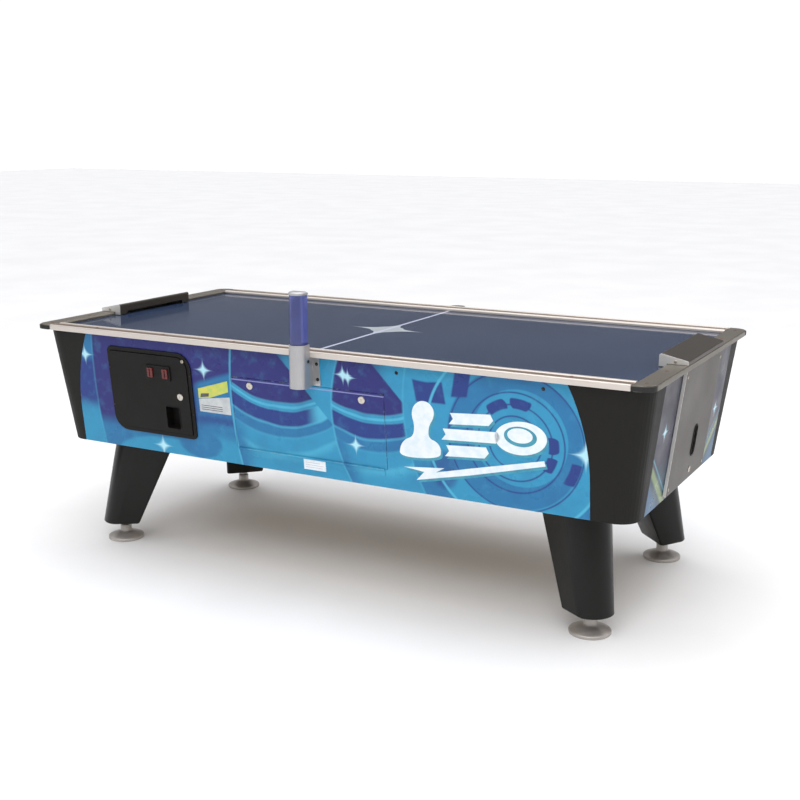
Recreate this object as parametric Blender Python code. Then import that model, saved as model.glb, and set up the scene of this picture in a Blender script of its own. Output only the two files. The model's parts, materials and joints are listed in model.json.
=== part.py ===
"""Air hockey table: tapered cabinet on four splayed legs, aluminium rails, goal boxes and a blower.

Metres, +Z up. The origin is on the floor under the middle of the table. +X runs along the
table's length, and -Y is the side with the coin door and the service door.
"""
import math

import bmesh
import bpy
from mathutils import Matrix, Vector

# ---------------------------------------------------------------- driving dimensions
LENGTH = 2.250              # over the rails
WIDTH = 1.090               # over the rails
HEIGHT = 0.815              # floor to rail top
RAIL_WIDTH = 0.065
RAIL_EDGE = 0.0186          # thickness of the rails at their outer edge
PLAY_DROP = 0.012           # playing surface below the rail top
CABINET_BOTTOM = 0.389
END_TOP = 1.112             # half-length of the cabinet at its top
END_BOTTOM = 1.063
SIDE_TOP = 0.518            # half-width of the cabinet at its top
SIDE_BOTTOM = 0.475
WALL = 0.018                # cabinet boards, measured level
GAP = 0.0004                # between neighbouring pieces
CORNER_RADIUS = 0.065
CORNER_REACH_LEFT = 0.985   # where a moulded corner ends on the long side, low down
CORNER_REACH_RIGHT = 0.935
CORNER_REACH_END = 0.375    # the same on the short side
CORNER_SWEEP = 0.678        # radius of the curve that widens a corner towards its top
CORNER_SWEEP_START = 0.50   # height where that curve starts
GOAL_HALF = 0.165           # half-width of the goal mouth
HOOD_HALF = 0.205           # half-width of the goal hood and of the end cover
HOOD_OVERHANG = 0.025       # hood past the rail's inner edge
COVER_PROUD = 0.011         # end cover proud of the end panel
FOOT_X = 0.911
FOOT_Y = 0.372
FOOT_RADIUS = 0.065
POST_TOP = 0.992
BLOWER_X = 0.02
BLOWER_Y = 0.16

# ---------------------------------------------------------------- levels and slopes
CABINET_TOP = HEIGHT - RAIL_EDGE - GAP
RAIL_UNDERSIDE = HEIGHT - RAIL_EDGE
PLAY_Z = HEIGHT - PLAY_DROP
PLAY_THICKNESS = 0.012
PLAY_UNDERSIDE = PLAY_Z - PLAY_THICKNESS
RAIL_INNER_X = LENGTH / 2 - RAIL_WIDTH
RAIL_INNER_Y = WIDTH / 2 - RAIL_WIDTH
CABINET_RISE = CABINET_TOP - CABINET_BOTTOM
SIDE_LEAN = math.atan((SIDE_TOP - SIDE_BOTTOM) / CABINET_RISE)
END_LEAN = math.atan((END_TOP - END_BOTTOM) / CABINET_RISE)

# ---------------------------------------------------------------- materials
MATERIALS = {
    "laminate": ((0.06, 0.30, 0.55), 0.35, 0.0),
    "moulded_black": ((0.030, 0.029, 0.026), 0.55, 0.0),
    "leg_black": ((0.020, 0.020, 0.018), 0.50, 0.0),
    "playfield": ((0.10, 0.13, 0.22), 0.15, 0.0),
    "rail_aluminium": ((0.72, 0.70, 0.68), 0.35, 1.0),
    "rail_steel": ((0.30, 0.28, 0.25), 0.40, 1.0),
    "goal_steel": ((0.45, 0.43, 0.41), 0.30, 1.0),
    "bumper_rubber": ((0.015, 0.015, 0.015), 0.75, 0.0),
    "foot_steel": ((0.42, 0.39, 0.36), 0.45, 1.0),
    "bracket_aluminium": ((0.62, 0.63, 0.65), 0.35, 1.0),
    "post_acrylic": ((0.12, 0.16, 0.50), 0.08, 0.0),
    "door_black": ((0.022, 0.020, 0.019), 0.60, 0.0),
    "button_red": ((0.55, 0.02, 0.02), 0.25, 0.0),
    "lock_steel": ((0.60, 0.58, 0.55), 0.30, 1.0),
    "plywood": ((0.52, 0.38, 0.22), 0.70, 0.0),
    "grey_sheet": ((0.35, 0.36, 0.37), 0.50, 1.0),
    "blower_black": ((0.05, 0.05, 0.05), 0.50, 0.0),
}


def clear_scene():
    for item in list(bpy.data.objects):
        bpy.data.objects.remove(item, do_unlink=True)


def material(name):
    found = bpy.data.materials.get(name)
    if found:
        return found
    colour, roughness, metallic = MATERIALS[name]
    made = bpy.data.materials.new(name)
    made.use_nodes = True
    shader = made.node_tree.nodes["Principled BSDF"]
    shader.inputs["Base Color"].default_value = (*colour, 1.0)
    shader.inputs["Roughness"].default_value = roughness
    shader.inputs["Metallic"].default_value = metallic
    return made


# ---------------------------------------------------------------- solids: (points, faces)
def loft(sections):
    """A closed solid through rings that all have the same number of points."""
    count = len(sections[0])
    points = [Vector(p) for ring in sections for p in ring]
    faces = []
    for level in range(len(sections) - 1):
        low, high = level * count, (level + 1) * count
        for i in range(count):
            j = (i + 1) % count
            faces.append((low + i, low + j, high + j, high + i))
    faces.append(tuple(range(count - 1, -1, -1)))
    last = (len(sections) - 1) * count
    faces.append(tuple(last + i for i in range(count)))
    return points, faces


def box(low, high):
    ring = [(low[0], low[1]), (high[0], low[1]), (high[0], high[1]), (low[0], high[1])]
    return loft([[(x, y, z) for x, y in ring] for z in (low[2], high[2])])


def prism(outline, low, high, axis="Z"):
    """An outline extruded along an axis. Its two numbers are the other two axes in order."""
    slot = "XYZ".index(axis)
    rings = []
    for t in (low, high):
        ring = []
        for pair in outline:
            point = list(pair)
            point.insert(slot, t)
            ring.append(point)
        rings.append(ring)
    return loft(rings)


def turned(profile, centre, steps=24, closed=False):
    """A profile of (radius, height) turned about the upright axis through centre.

    An open profile starts and ends on the axis. A closed one is a ring around it.
    """
    cx, cy = centre
    points, faces, rings = [], [], []
    for radius, height in profile:
        if radius < 1e-9:
            rings.append([len(points)])
            points.append(Vector((cx, cy, height)))
            continue
        ring = []
        for i in range(steps):
            angle = 2 * math.pi * i / steps
            ring.append(len(points))
            points.append(Vector((cx + radius * math.cos(angle), cy + radius * math.sin(angle), height)))
        rings.append(ring)
    pairs = list(zip(rings, rings[1:]))
    if closed:
        pairs.append((rings[-1], rings[0]))
    for low, high in pairs:
        for i in range(steps):
            j = (i + 1) % steps
            corners = [low[i % len(low)], low[j % len(low)], high[j % len(high)], high[i % len(high)]]
            faces.append(tuple(dict.fromkeys(corners)))
    return points, faces


def moved(solid, matrix):
    points, faces = solid
    return [matrix @ p for p in points], faces


def mirrored(solid, sx, sy):
    points, faces = solid
    return [Vector((sx * p.x, sy * p.y, p.z)) for p in points], faces


def mesh_object(name, solids, material_name, smooth=None):
    """One object from one or more separate solids, faces outward."""
    mesh = bpy.data.meshes.new(name)
    points, faces = [], []
    for solid_points, solid_faces in solids:
        start = len(points)
        points.extend(solid_points)
        faces.extend(tuple(start + i for i in face) for face in solid_faces)
    mesh.from_pydata([tuple(p) for p in points], [], faces)
    work = bmesh.new()
    work.from_mesh(mesh)
    bmesh.ops.recalc_face_normals(work, faces=work.faces)
    work.to_mesh(mesh)
    work.free()
    if smooth:
        mesh.shade_smooth()
        mesh.set_sharp_from_angle(angle=math.radians(smooth))
    item = bpy.data.objects.new(name, mesh)
    bpy.context.scene.collection.objects.link(item)
    if material_name:
        mesh.materials.append(material(material_name))
    return item


def boolean(item, solids, operation="DIFFERENCE", parent=None):
    """Cut solids from an object, or join them to it, with a hidden tool object."""
    tool = mesh_object(item.name + "_tool", solids, None)
    tool.hide_render = True
    tool.display_type = "WIRE"
    tool.parent = parent
    change = item.modifiers.new(operation.lower(), "BOOLEAN")
    change.operation = operation
    change.solver = "EXACT"
    change.object = tool


def frame_empty(name, location, rotation):
    empty = bpy.data.objects.new(name, None)
    empty.location = location
    empty.rotation_euler = rotation
    bpy.context.scene.collection.objects.link(empty)
    return empty


# ---------------------------------------------------------------- outlines
def arc(cx, cy, radius, start, end, steps):
    angles = [math.radians(start + (end - start) * i / steps) for i in range(steps + 1)]
    return [(cx + radius * math.cos(a), cy + radius * math.sin(a)) for a in angles]


def rounded(x0, y0, x1, y1, radii, steps=5):
    """Rounded rectangle, counter-clockwise. Radii: low-left, low-right, high-right, high-left."""
    a, b, c, d = radii
    return (arc(x0 + a, y0 + a, a, 180, 270, steps) + arc(x1 - b, y0 + b, b, 270, 360, steps)
            + arc(x1 - c, y1 - c, c, 0, 90, steps) + arc(x0 + d, y1 - d, d, 90, 180, steps))


def circle(cx, cy, radius, steps=16):
    return arc(cx, cy, radius, 0, 360 - 360 / steps, steps - 1)


def half_x(z):
    return END_BOTTOM + (END_TOP - END_BOTTOM) * (z - CABINET_BOTTOM) / CABINET_RISE


def half_y(z):
    return SIDE_BOTTOM + (SIDE_TOP - SIDE_BOTTOM) * (z - CABINET_BOTTOM) / CABINET_RISE


def corner_edge(z, reach):
    """Where a moulded corner ends along the long side, at a height."""
    rise = max(0.0, z - CORNER_SWEEP_START)
    return reach - (CORNER_SWEEP - math.sqrt(CORNER_SWEEP ** 2 - rise ** 2))


def reach_of(sx):
    return CORNER_REACH_RIGHT if sx > 0 else CORNER_REACH_LEFT


def cabinet_levels(steps=8):
    curved = [CORNER_SWEEP_START + (CABINET_TOP - CORNER_SWEEP_START) * i / steps for i in range(steps + 1)]
    return [CABINET_BOTTOM] + curved


# ---------------------------------------------------------------- cabinet
def corner_shell(sx, sy, name):
    """Moulded quarter corner: an outer rounded wall and its inner face, WALL apart."""
    sections = []
    for z in cabinet_levels():
        a, b, reach = half_x(z), half_y(z), corner_edge(z, reach_of(sx))
        cx, cy = a - CORNER_RADIUS, b - CORNER_RADIUS
        outer = [(reach, b)] + arc(cx, cy, CORNER_RADIUS, 90, 0, 8) + [(a, CORNER_REACH_END)]
        inner = [(a - WALL, CORNER_REACH_END)] + arc(cx, cy, CORNER_RADIUS - WALL, 0, 90, 8)
        inner.append((reach, b - WALL))
        sections.append([(sx * x, sy * y, z) for x, y in outer + inner])
    return mesh_object(name, [loft(sections)], "moulded_black", smooth=40)


def side_panel(sy, name):
    sections = []
    for z in cabinet_levels():
        left = -corner_edge(z, CORNER_REACH_LEFT) + GAP
        right = corner_edge(z, CORNER_REACH_RIGHT) - GAP
        outer, inner = half_y(z), half_y(z) - WALL
        section = [(left, outer), (right, outer), (right, inner), (left, inner)]
        sections.append([(x, sy * y, z) for x, y in section])
    return mesh_object(name, [loft(sections)], "laminate")


def end_panel(sx, name):
    sections = []
    half = CORNER_REACH_END - GAP
    for z in (CABINET_BOTTOM, CABINET_TOP):
        outer, inner = half_x(z), half_x(z) - WALL
        section = [(inner, -half), (outer, -half), (outer, half), (inner, half)]
        sections.append([(sx * x, y, z) for x, y in section])
    panel = mesh_object(name, [loft(sections)], "laminate")
    boolean(panel, [return_slot(sx, 0.004)])
    return panel


# ---------------------------------------------------------------- puck return
SLOT_Y = 0.030              # centre of the return slot
SLOT_LOW = 0.484
SLOT_HIGH = 0.582
SLOT_HALF = 0.017


def return_slot(sx, grow=0.0):
    """The upright round-ended slot through which a puck comes back."""
    radius = SLOT_HALF + grow
    low, high = SLOT_LOW + SLOT_HALF, SLOT_HIGH - SLOT_HALF
    outline = arc(SLOT_Y, low, radius, 180, 360, 8) + arc(SLOT_Y, high, radius, 0, 180, 8)
    return prism(outline, sx * 1.02, sx * 1.16, "X")


def puck_chute(sx, name):
    """Inner wall of the puck's drop, with the sloping floors that lead to the slot."""
    wall_x = 1.026
    wall = box((wall_x, -0.24, 0.455), (wall_x + 0.003, 0.24, 0.700))
    floor_low, floor_high, thick = 0.470, 0.560, 0.003
    valley = [(-0.236, floor_high), (SLOT_Y - 0.02, floor_low), (SLOT_Y + 0.02, floor_low)]
    valley.append((0.236, floor_high))
    outline = valley + [(y, z - thick) for y, z in reversed(valley)]
    floor_solid = prism(outline, wall_x + 0.001, half_x(0.46) - WALL - GAP, "X")
    item = mesh_object(name, [mirrored(wall, sx, 1)], "grey_sheet")
    boolean(item, [mirrored(floor_solid, sx, 1)], "UNION")
    return item


def end_cover(sx, name):
    """Sheet-steel box lid over the end panel, flush with the rail's edge at its top."""
    low, high, sheet = 0.404, RAIL_UNDERSIDE - GAP, 0.0022
    outer, inner = [], []
    for z in (low, high):
        proud = half_x(z) + COVER_PROUD
        outer.append([(half_x(z) + GAP, -HOOD_HALF, z), (proud, -HOOD_HALF, z),
                      (proud, HOOD_HALF, z), (half_x(z) + GAP, HOOD_HALF, z)])
    for z in (low + sheet, high - sheet):
        proud, half = half_x(z) + COVER_PROUD - sheet, HOOD_HALF - sheet
        back = half_x(z) - 0.01
        inner.append([(back, -half, z), (proud, -half, z), (proud, half, z), (back, half, z)])
    cover = mesh_object(name, [mirrored(loft(outer), sx, 1)], "goal_steel")
    boolean(cover, [mirrored(loft(inner), sx, 1)])
    boolean(cover, [return_slot(sx)])
    return cover


# ---------------------------------------------------------------- bottom board and intake
INTAKE_X = -0.10
INTAKE_HALF = 0.11
STUD_RADIUS = 0.004
STUD_MIDDLE = (0.835, 0.310)        # middle of a leg's four hanger studs
STUD_SPREAD = (0.040, 0.026)        # from there to each stud


def leg_stud_places():
    """Four hanger studs in the top of each leg."""
    signs = (-1, 1)
    across = [s * (STUD_MIDDLE[0] + d * STUD_SPREAD[0]) for s in signs for d in signs]
    deep = [s * (STUD_MIDDLE[1] + d * STUD_SPREAD[1]) for s in signs for d in signs]
    return [(x, y) for x in across for y in deep]


def bottom_panel():
    sections = []
    for z in (CABINET_BOTTOM, CABINET_BOTTOM + WALL):
        a, b = half_x(z) - WALL - GAP, half_y(z) - WALL - GAP
        ring = rounded(-a, -b, a, b, [CORNER_RADIUS - WALL - GAP] * 4, 8)
        sections.append([(x, y, z) for x, y in ring])
    panel = mesh_object("bottom_panel", [loft(sections)], "plywood")
    low, high = CABINET_BOTTOM - 0.01, CABINET_BOTTOM + WALL + 0.01
    cuts = [box((INTAKE_X - INTAKE_HALF, -INTAKE_HALF, low), (INTAKE_X + INTAKE_HALF, INTAKE_HALF, high))]
    cuts += [prism(circle(x, y, STUD_RADIUS + 0.0006, 10), low, high) for x, y in leg_stud_places()]
    boolean(panel, cuts)
    return panel


def intake_grille():
    half, sheet = INTAKE_HALF + 0.018, 0.0018
    top = CABINET_BOTTOM - GAP
    outline = rounded(INTAKE_X - half, -half, INTAKE_X + half, half, [0.008] * 4, 3)
    grille = mesh_object("intake_grille", [prism(outline, top - sheet, top)], "grey_sheet")
    slots = []
    count, pitch, half_width, half_length = 9, 0.022, 0.005, 0.095
    for i in range(count):
        x = INTAKE_X + (i - (count - 1) / 2) * pitch
        slot = rounded(x - half_width, -half_length, x + half_width, half_length, [0.0049] * 4, 2)
        slots.append(prism(slot, top - 0.01, top + 0.01))
    boolean(grille, slots)
    return grille


# ---------------------------------------------------------------- legs and feet
# A leg's section stands diagonally: middle of its flat inner face, half its width, depth outward.
LEG_TOP = (0.7765, 0.2385, 0.101, 0.204)        # just under the cabinet
LEG_FOOT = (0.8775, 0.3400, 0.076, 0.124)       # at the leg's lower end
LEG_LOW = 0.070                                 # height of the lower end
INSERT_TOP = 0.130
STEM_RADIUS = 0.0080


def leg_section(shape, inset, z):
    """Section with a flat inner face, nearly parallel flanks and a half-round outer side."""
    cx, cy, half, depth = shape
    half, depth = half - inset, depth - 2 * inset
    small, flank, narrow = 0.009, 0.62 * depth, 0.80 * half
    ring = arc(-half + small, small, small, 180, 270, 3)
    ring += arc(half - small, small, small, 270, 360, 3)
    for a, b in arc(0, 0, 1, 0, 180, 14):
        ring.append((narrow * a, flank + (depth - flank) * b))
    cosine = math.sqrt(0.5)
    return [(cx + (a + b + inset) * cosine, cy + (b + inset - a) * cosine, z) for a, b in ring]


def leg(sx, sy, name):
    sections = [
        leg_section(LEG_FOOT, 0.003, LEG_LOW),
        leg_section(LEG_FOOT, 0.0, LEG_LOW + 0.003),
        leg_section(LEG_TOP, 0.0, CABINET_BOTTOM - GAP),
    ]
    item = mesh_object(name, [mirrored(loft(sections), sx, sy)], "leg_black", smooth=40)
    bore = circle(sx * FOOT_X, sy * FOOT_Y, STEM_RADIUS + GAP, 16)
    boolean(item, [prism(bore, LEG_LOW - 0.03, INSERT_TOP)])
    studs = []
    stud_low, stud_high = CABINET_BOTTOM - 0.03, CABINET_BOTTOM + WALL + 0.012
    for x, y in leg_stud_places():
        if x * sx > 0 and y * sy > 0:
            studs.append(prism(circle(x, y, STUD_RADIUS, 10), stud_low, stud_high))
    boolean(item, studs, "UNION")
    return item


def leveller(sx, sy, name):
    """Screw foot: a disc with a coned top, a hub, a lock nut and a stem up into the leg."""
    r = FOOT_RADIUS
    profile = [(0, 0), (r - 0.003, 0), (r, 0.003), (r, 0.009), (r - 0.004, 0.012), (0.026, 0.025),
               (0.020, 0.029), (0.020, 0.052), (STEM_RADIUS, 0.053), (STEM_RADIUS, 0.120), (0, 0.120)]
    item = mesh_object(name, [turned(profile, (0, 0), 32)], "foot_steel", smooth=35)
    item.location = (sx * FOOT_X, sy * FOOT_Y, 0)
    nut = prism(circle(0, 0, 0.0185, 6), 0.0545, 0.0635)
    boolean(item, [nut], "UNION", parent=item)
    return item


# ---------------------------------------------------------------- playing surface and air box
def playfield():
    a, b = RAIL_INNER_X + 0.0072, RAIL_INNER_Y + 0.0072
    notch_x, notch_y = 1.057, GOAL_HALF + 0.004
    r = 0.052
    right = [(a, -b + r), (a, -notch_y), (notch_x, -notch_y), (notch_x, notch_y), (a, notch_y)]
    ring = (arc(a - r, -b + r, r, 270, 360, 5)[:-1] + right + arc(a - r, b - r, r, 0, 90, 5))
    ring += [(-x, -y) for x, y in ring]
    return mesh_object("playfield", [prism(ring, PLAY_UNDERSIDE, PLAY_Z)], "playfield")


PLENUM_X = 1.020
PLENUM_Y = 0.460
PLENUM_FLOOR_TOP = 0.7130
PLENUM_FLOOR_LOW = 0.7040


def plenum_frame():
    """Ribbed frame that holds the playing surface over the air box's floor."""
    low, high, rib = PLENUM_FLOOR_TOP + GAP, PLAY_UNDERSIDE - GAP, 0.018
    block = box((-PLENUM_X, -PLENUM_Y, low), (PLENUM_X, PLENUM_Y, high))
    item = mesh_object("plenum_frame", [block], "plywood")
    bay_ends = [-PLENUM_X + rib / 2, -0.34, 0.34, PLENUM_X - rib / 2]
    half = PLENUM_Y - rib
    bays = []
    for left, right in zip(bay_ends, bay_ends[1:]):
        bays.append(box((left + rib / 2, -half, low - 0.01), (right - rib / 2, half, high + 0.01)))
    boolean(item, bays)
    passages = [box((x - rib, -0.20, low + 0.015), (x + rib, 0.20, high - 0.015)) for x in (-0.34, 0.34)]
    boolean(item, passages)
    return item


def plenum_floor():
    board = box((-PLENUM_X, -PLENUM_Y, PLENUM_FLOOR_LOW), (PLENUM_X, PLENUM_Y, PLENUM_FLOOR_TOP))
    item = mesh_object("plenum_floor", [board], "plywood")
    boolean(item, [prism(circle(BLOWER_X, BLOWER_Y, 0.100, 32), 0.69, 0.73)])
    return item


def support_frame():
    """Ladder that carries the air box: four beams from wall to wall and two long rails."""
    low, high, beam = 0.650, PLENUM_FLOOR_LOW - GAP, 0.036
    half, rail_y, reach = half_y(low) - WALL - GAP, 0.318, 0.90
    end = reach + beam / 2
    rails = [box((-end, y - beam / 2, low), (end, y + beam / 2, high)) for y in (-rail_y, rail_y)]
    beams = []
    for x in (-reach, -0.40, 0.40, reach):
        beams.append(box((x - beam / 2, -half, low), (x + beam / 2, half, high)))
    item = mesh_object("support_frame", [rails[0]], "plywood")
    for part in [rails[1]] + beams:
        boolean(item, [part], "UNION")
    return item


# ---------------------------------------------------------------- blower
DRUM_TOP = PLENUM_FLOOR_LOW - GAP
DRUM_LOW = 0.590


def blower_housing():
    eye, rim, outer, mouth, sheet = 0.104, 0.138, 0.126, 0.078, 0.003
    under_rim = DRUM_TOP - 0.004
    profile = [(eye, DRUM_TOP), (rim, DRUM_TOP), (rim, under_rim), (outer, under_rim), (outer, DRUM_LOW),
               (mouth, DRUM_LOW), (mouth, DRUM_LOW + sheet), (outer - sheet, DRUM_LOW + sheet),
               (outer - sheet, under_rim), (eye, under_rim)]
    solid = turned(profile, (BLOWER_X, BLOWER_Y), 32, closed=True)
    return mesh_object("blower_housing", [solid], "blower_black", smooth=40)


def blower_impeller():
    """Back plate, hub and shaft, with radial blades joined on."""
    plate, hub, shaft, shaft_low = 0.690, 0.020, 0.0060, 0.535
    profile = [(0, plate + 0.003), (0.112, plate + 0.003), (0.112, plate), (hub, plate - 0.003),
               (hub, plate - 0.030), (shaft, plate - 0.031), (shaft, shaft_low), (0, shaft_low)]
    item = mesh_object("blower_impeller", [turned(profile, (0, 0), 32)], "blower_black", smooth=35)
    item.location = (BLOWER_X, BLOWER_Y, 0)
    blades = []
    count = 10
    for i in range(count):
        blade = box((0.060, -0.0012, 0.606), (0.110, 0.0012, plate + 0.001))
        blades.append(moved(blade, Matrix.Rotation(2 * math.pi * i / count, 4, "Z")))
    boolean(item, blades, "UNION", parent=item)
    return item


def blower_motor():
    high, low, bore = 0.5845, 0.500, 0.0064
    profile = [(bore, high), (0.030, high), (0.048, high - 0.006), (0.050, high - 0.014),
               (0.050, low + 0.012), (0.046, low + 0.004), (0.020, low), (bore, low)]
    solid = turned(profile, (BLOWER_X, BLOWER_Y), 28, closed=True)
    return mesh_object("blower_motor", [solid], "grey_sheet", smooth=35)


def motor_bracket():
    """Flat bar across the mouth of the drum that carries the motor."""
    half_width, half_length, low = 0.016, 0.122, 0.5850
    bar = box((BLOWER_X - half_width, BLOWER_Y - half_length, low),
              (BLOWER_X + half_width, BLOWER_Y + half_length, DRUM_LOW - GAP))
    item = mesh_object("motor_bracket", [bar], "grey_sheet")
    boolean(item, [prism(circle(BLOWER_X, BLOWER_Y, 0.012, 16), 0.57, 0.61)])
    return item


# ---------------------------------------------------------------- rails
SIDE_LIP_OUT = 0.0085       # width of the side rail's raised outer lip
SIDE_CHANNEL_IN = 0.048     # where its channel ends, from the outer edge
SIDE_CHANNEL_DEPTH = 0.0025


def side_rail(sy, name):
    """Extruded rail: outer lip, shallow screw channel, raised inner lip and the puck wall."""
    edge, top, low = WIDTH / 2, HEIGHT, RAIL_UNDERSIDE
    channel = top - SIDE_CHANNEL_DEPTH
    depth_profile = [
        (0, low), (0, top - 0.003), (0.0012, top - 0.0008), (0.003, top), (SIDE_LIP_OUT - 0.001, top),
        (SIDE_LIP_OUT, channel), (SIDE_CHANNEL_IN, channel), (SIDE_CHANNEL_IN + 0.0015, top),
        (RAIL_WIDTH - 0.005, top), (RAIL_WIDTH - 0.0015, top - 0.0015), (RAIL_WIDTH, top - 0.005),
        (RAIL_WIDTH, PLAY_Z + GAP), (RAIL_WIDTH - 0.008, PLAY_Z + GAP), (RAIL_WIDTH - 0.008, low),
    ]
    outline = [(sy * (edge - d), z) for d, z in depth_profile]
    half = RAIL_INNER_X - GAP
    return mesh_object(name, [prism(outline, -half, half, "X")], "rail_aluminium", smooth=30)


END_RAIL_TOP = HEIGHT - 0.001
END_CORNER_RADIUS = 0.045


def end_rail(sx, name):
    """End rail over the full width, open at its inner side for the goal mouth."""
    edge, top, low = LENGTH / 2, END_RAIL_TOP, RAIL_UNDERSIDE
    inner = RAIL_INNER_X
    profile = [(edge, low), (edge, top - 0.003), (edge - 0.003, top), (inner + 0.004, top),
               (inner, top - 0.004), (inner, PLAY_Z + GAP), (inner + 0.008, PLAY_Z + GAP),
               (inner + 0.008, low)]
    half = WIDTH / 2
    solid = prism(profile, -half, half, "Y")
    item = mesh_object(name, [mirrored(solid, sx, 1)], "rail_steel", smooth=30)
    low_cuts = [mirrored(box((inner - 0.01, -GOAL_HALF, 0.77), (inner + 0.036, GOAL_HALF, 0.84)), sx, 1)]
    for sy in (-1, 1):
        wall = box((inner - 0.01, RAIL_INNER_Y, 0.77), (edge + 0.01, half + 0.01, low + 0.0001))
        low_cuts.append(mirrored(wall, sx, sy))
    boolean(item, low_cuts)
    r = END_CORNER_RADIUS
    block = arc(edge - r, half - r, r, 0, 90, 7)
    block += [(edge - r, half + 0.02), (edge + 0.02, half + 0.02), (edge + 0.02, half - r)]
    boolean(item, [mirrored(prism(block, 0.77, 0.84), sx, sy) for sy in (-1, 1)])
    return item


def corner_bumper(sx, sy, name):
    """Black rubber piece around the rounded corner of an end rail."""
    edge_x, edge_y, tight, tip = LENGTH / 2, WIDTH / 2, 0.030, 0.0008
    cx, cy = edge_x - END_CORNER_RADIUS, edge_y - END_CORNER_RADIUS
    reach = END_CORNER_RADIUS + GAP
    start = math.degrees(math.acos((END_CORNER_RADIUS - tip) / reach))
    inner = arc(cx, cy, reach, 90 - start, start, 8)
    outer = arc(edge_x - tight, edge_y - tight, tight, 0, 90, 6)
    outline = [(edge_x, inner[-1][1])] + outer + [(inner[0][0], edge_y)] + inner
    solid = prism(outline, RAIL_UNDERSIDE + 0.0005, HEIGHT - 0.004)
    return mesh_object(name, [mirrored(solid, sx, sy)], "bumper_rubber", smooth=40)


# ---------------------------------------------------------------- goal hoods
HOOD_RISE_IN = 0.029        # hood top above the rail at its inner edge
HOOD_RISE_OUT = 0.012


def goal_hood(sx, name):
    """Sheet-steel hood over the goal mouth: sloping top, two cheeks and a front lip."""
    inner_x, outer_x = RAIL_INNER_X - HOOD_OVERHANG, LENGTH / 2
    base, sheet = END_RAIL_TOP + GAP, 0.0025
    high_in, high_out = HEIGHT + HOOD_RISE_IN, HEIGHT + HOOD_RISE_OUT
    drop = PLAY_Z + 0.002
    step = RAIL_INNER_X - GAP
    profile = [(inner_x, drop), (step, drop), (step, base), (outer_x, base), (outer_x, high_out - 0.002),
               (outer_x - 0.003, high_out), (inner_x + 0.006, high_in), (inner_x + 0.001, high_in - 0.003),
               (inner_x, high_in - 0.008)]
    block = mirrored(prism(profile, -HOOD_HALF, HOOD_HALF, "Y"), sx, 1)
    shell = mesh_object(name, [block], "goal_steel", smooth=30)
    slope = (high_out - high_in) / (outer_x - inner_x)

    def under_top(x):
        return high_in + slope * (x - inner_x) - sheet * 1.3

    lip = inner_x + sheet
    back = outer_x - sheet
    hollow = [(lip, drop - 0.02), (back, drop - 0.02), (back, under_top(outer_x) - 0.001),
              (lip + 0.004, under_top(lip + 0.004)), (lip, under_top(lip) - 0.005)]
    half = HOOD_HALF - sheet
    mouth_top = 0.8165
    mouth = box((inner_x - 0.01, -GOAL_HALF, drop - 0.02), (lip + 0.01, GOAL_HALF, mouth_top))
    boolean(shell, [mirrored(prism(hollow, -half, half, "Y"), sx, 1)])
    boolean(shell, [mirrored(mouth, sx, 1)])
    return shell


# ---------------------------------------------------------------- overhead-post brackets at half length
POST_HALF = 0.0265
SLEEVE_WALL = 0.0030
SLEEVE_BACK = WIDTH / 2 + GAP
SLEEVE_FRONT = 0.592
BRACKET_LOW = 0.700
BRACKET_HIGH_NEAR = 0.837
BRACKET_HIGH_FAR = 0.812


def post_section(inset):
    """D-shaped outline: flat back and sides, crowned front. Y is the distance from the middle."""
    half = POST_HALF + SLEEVE_WALL - inset
    back, crown = SLEEVE_BACK + inset, SLEEVE_FRONT - inset
    shoulder = SLEEVE_BACK + 0.022
    front = []
    steps = 10
    for i in range(steps + 1):
        angle = math.pi * i / steps
        front.append((half * math.cos(angle), shoulder + (crown - shoulder) * math.sin(angle)))
    return [(half, back)] + front + [(-half, back)]


def flipped(outline, sy):
    return [(x, sy * y) for x, y in outline]


def score_bracket(sy, high, name):
    """Aluminium socket for an overhead post, stood off the cabinet wall by a spacer and a flange."""
    sleeve = prism(flipped(post_section(0), sy), BRACKET_LOW, high)
    item = mesh_object(name, [sleeve], "bracket_aluminium", smooth=30)
    low, top = BRACKET_LOW, RAIL_UNDERSIDE - 0.001
    walls = [half_y(z) + GAP for z in (low, top)]
    spacer_fronts = [SLEEVE_BACK + 0.002, SLEEVE_BACK + 0.002]
    flange_fronts = [wall + 0.004 for wall in walls]
    for half, fronts in ((0.022, spacer_fronts), (0.046, flange_fronts)):
        sections = []
        for z, wall, front in zip((low, top), walls, fronts):
            section = [(-half, wall), (half, wall), (half, front), (-half, front)]
            sections.append([(x, sy * y, z) for x, y in section])
        boolean(item, [loft(sections)], "UNION")
    hollow = prism(flipped(post_section(SLEEVE_WALL), sy), BRACKET_LOW + 0.006, high + 0.02)
    boolean(item, [hollow])
    return item


def score_post():
    outline = flipped(post_section(SLEEVE_WALL + GAP), -1)
    solid = prism(outline, BRACKET_LOW + 0.006 + GAP, POST_TOP)
    return mesh_object("score_post", [solid], "post_acrylic", smooth=30)


def score_post_cap():
    wide = flipped(post_section(SLEEVE_WALL - 0.0012), -1)
    narrow = flipped(post_section(SLEEVE_WALL + 0.004), -1)
    sections = [[(x, y, POST_TOP + GAP) for x, y in wide], [(x, y, POST_TOP + 0.007) for x, y in wide],
                [(x, y, POST_TOP + 0.011) for x, y in narrow]]
    return mesh_object("score_post_cap", [loft(sections)], "bracket_aluminium", smooth=30)


# ---------------------------------------------------------------- doors, in the near panel's own plane
COIN = (-0.826, 0.0664, -0.468, 0.3700)         # frame outline: u0, v0, u1, v1
COIN_SMALL = 0.018
COIN_LARGE = 0.056
COIN_RIM = 0.014
SERVICE = (-0.305, 0.0614, 0.271, 0.3097)
SLEEVE_DEPTH = 0.030        # frame's sleeve behind the panel's face
DOOR_GAP = 0.0015
HINGE_OUT = 0.0036


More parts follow.
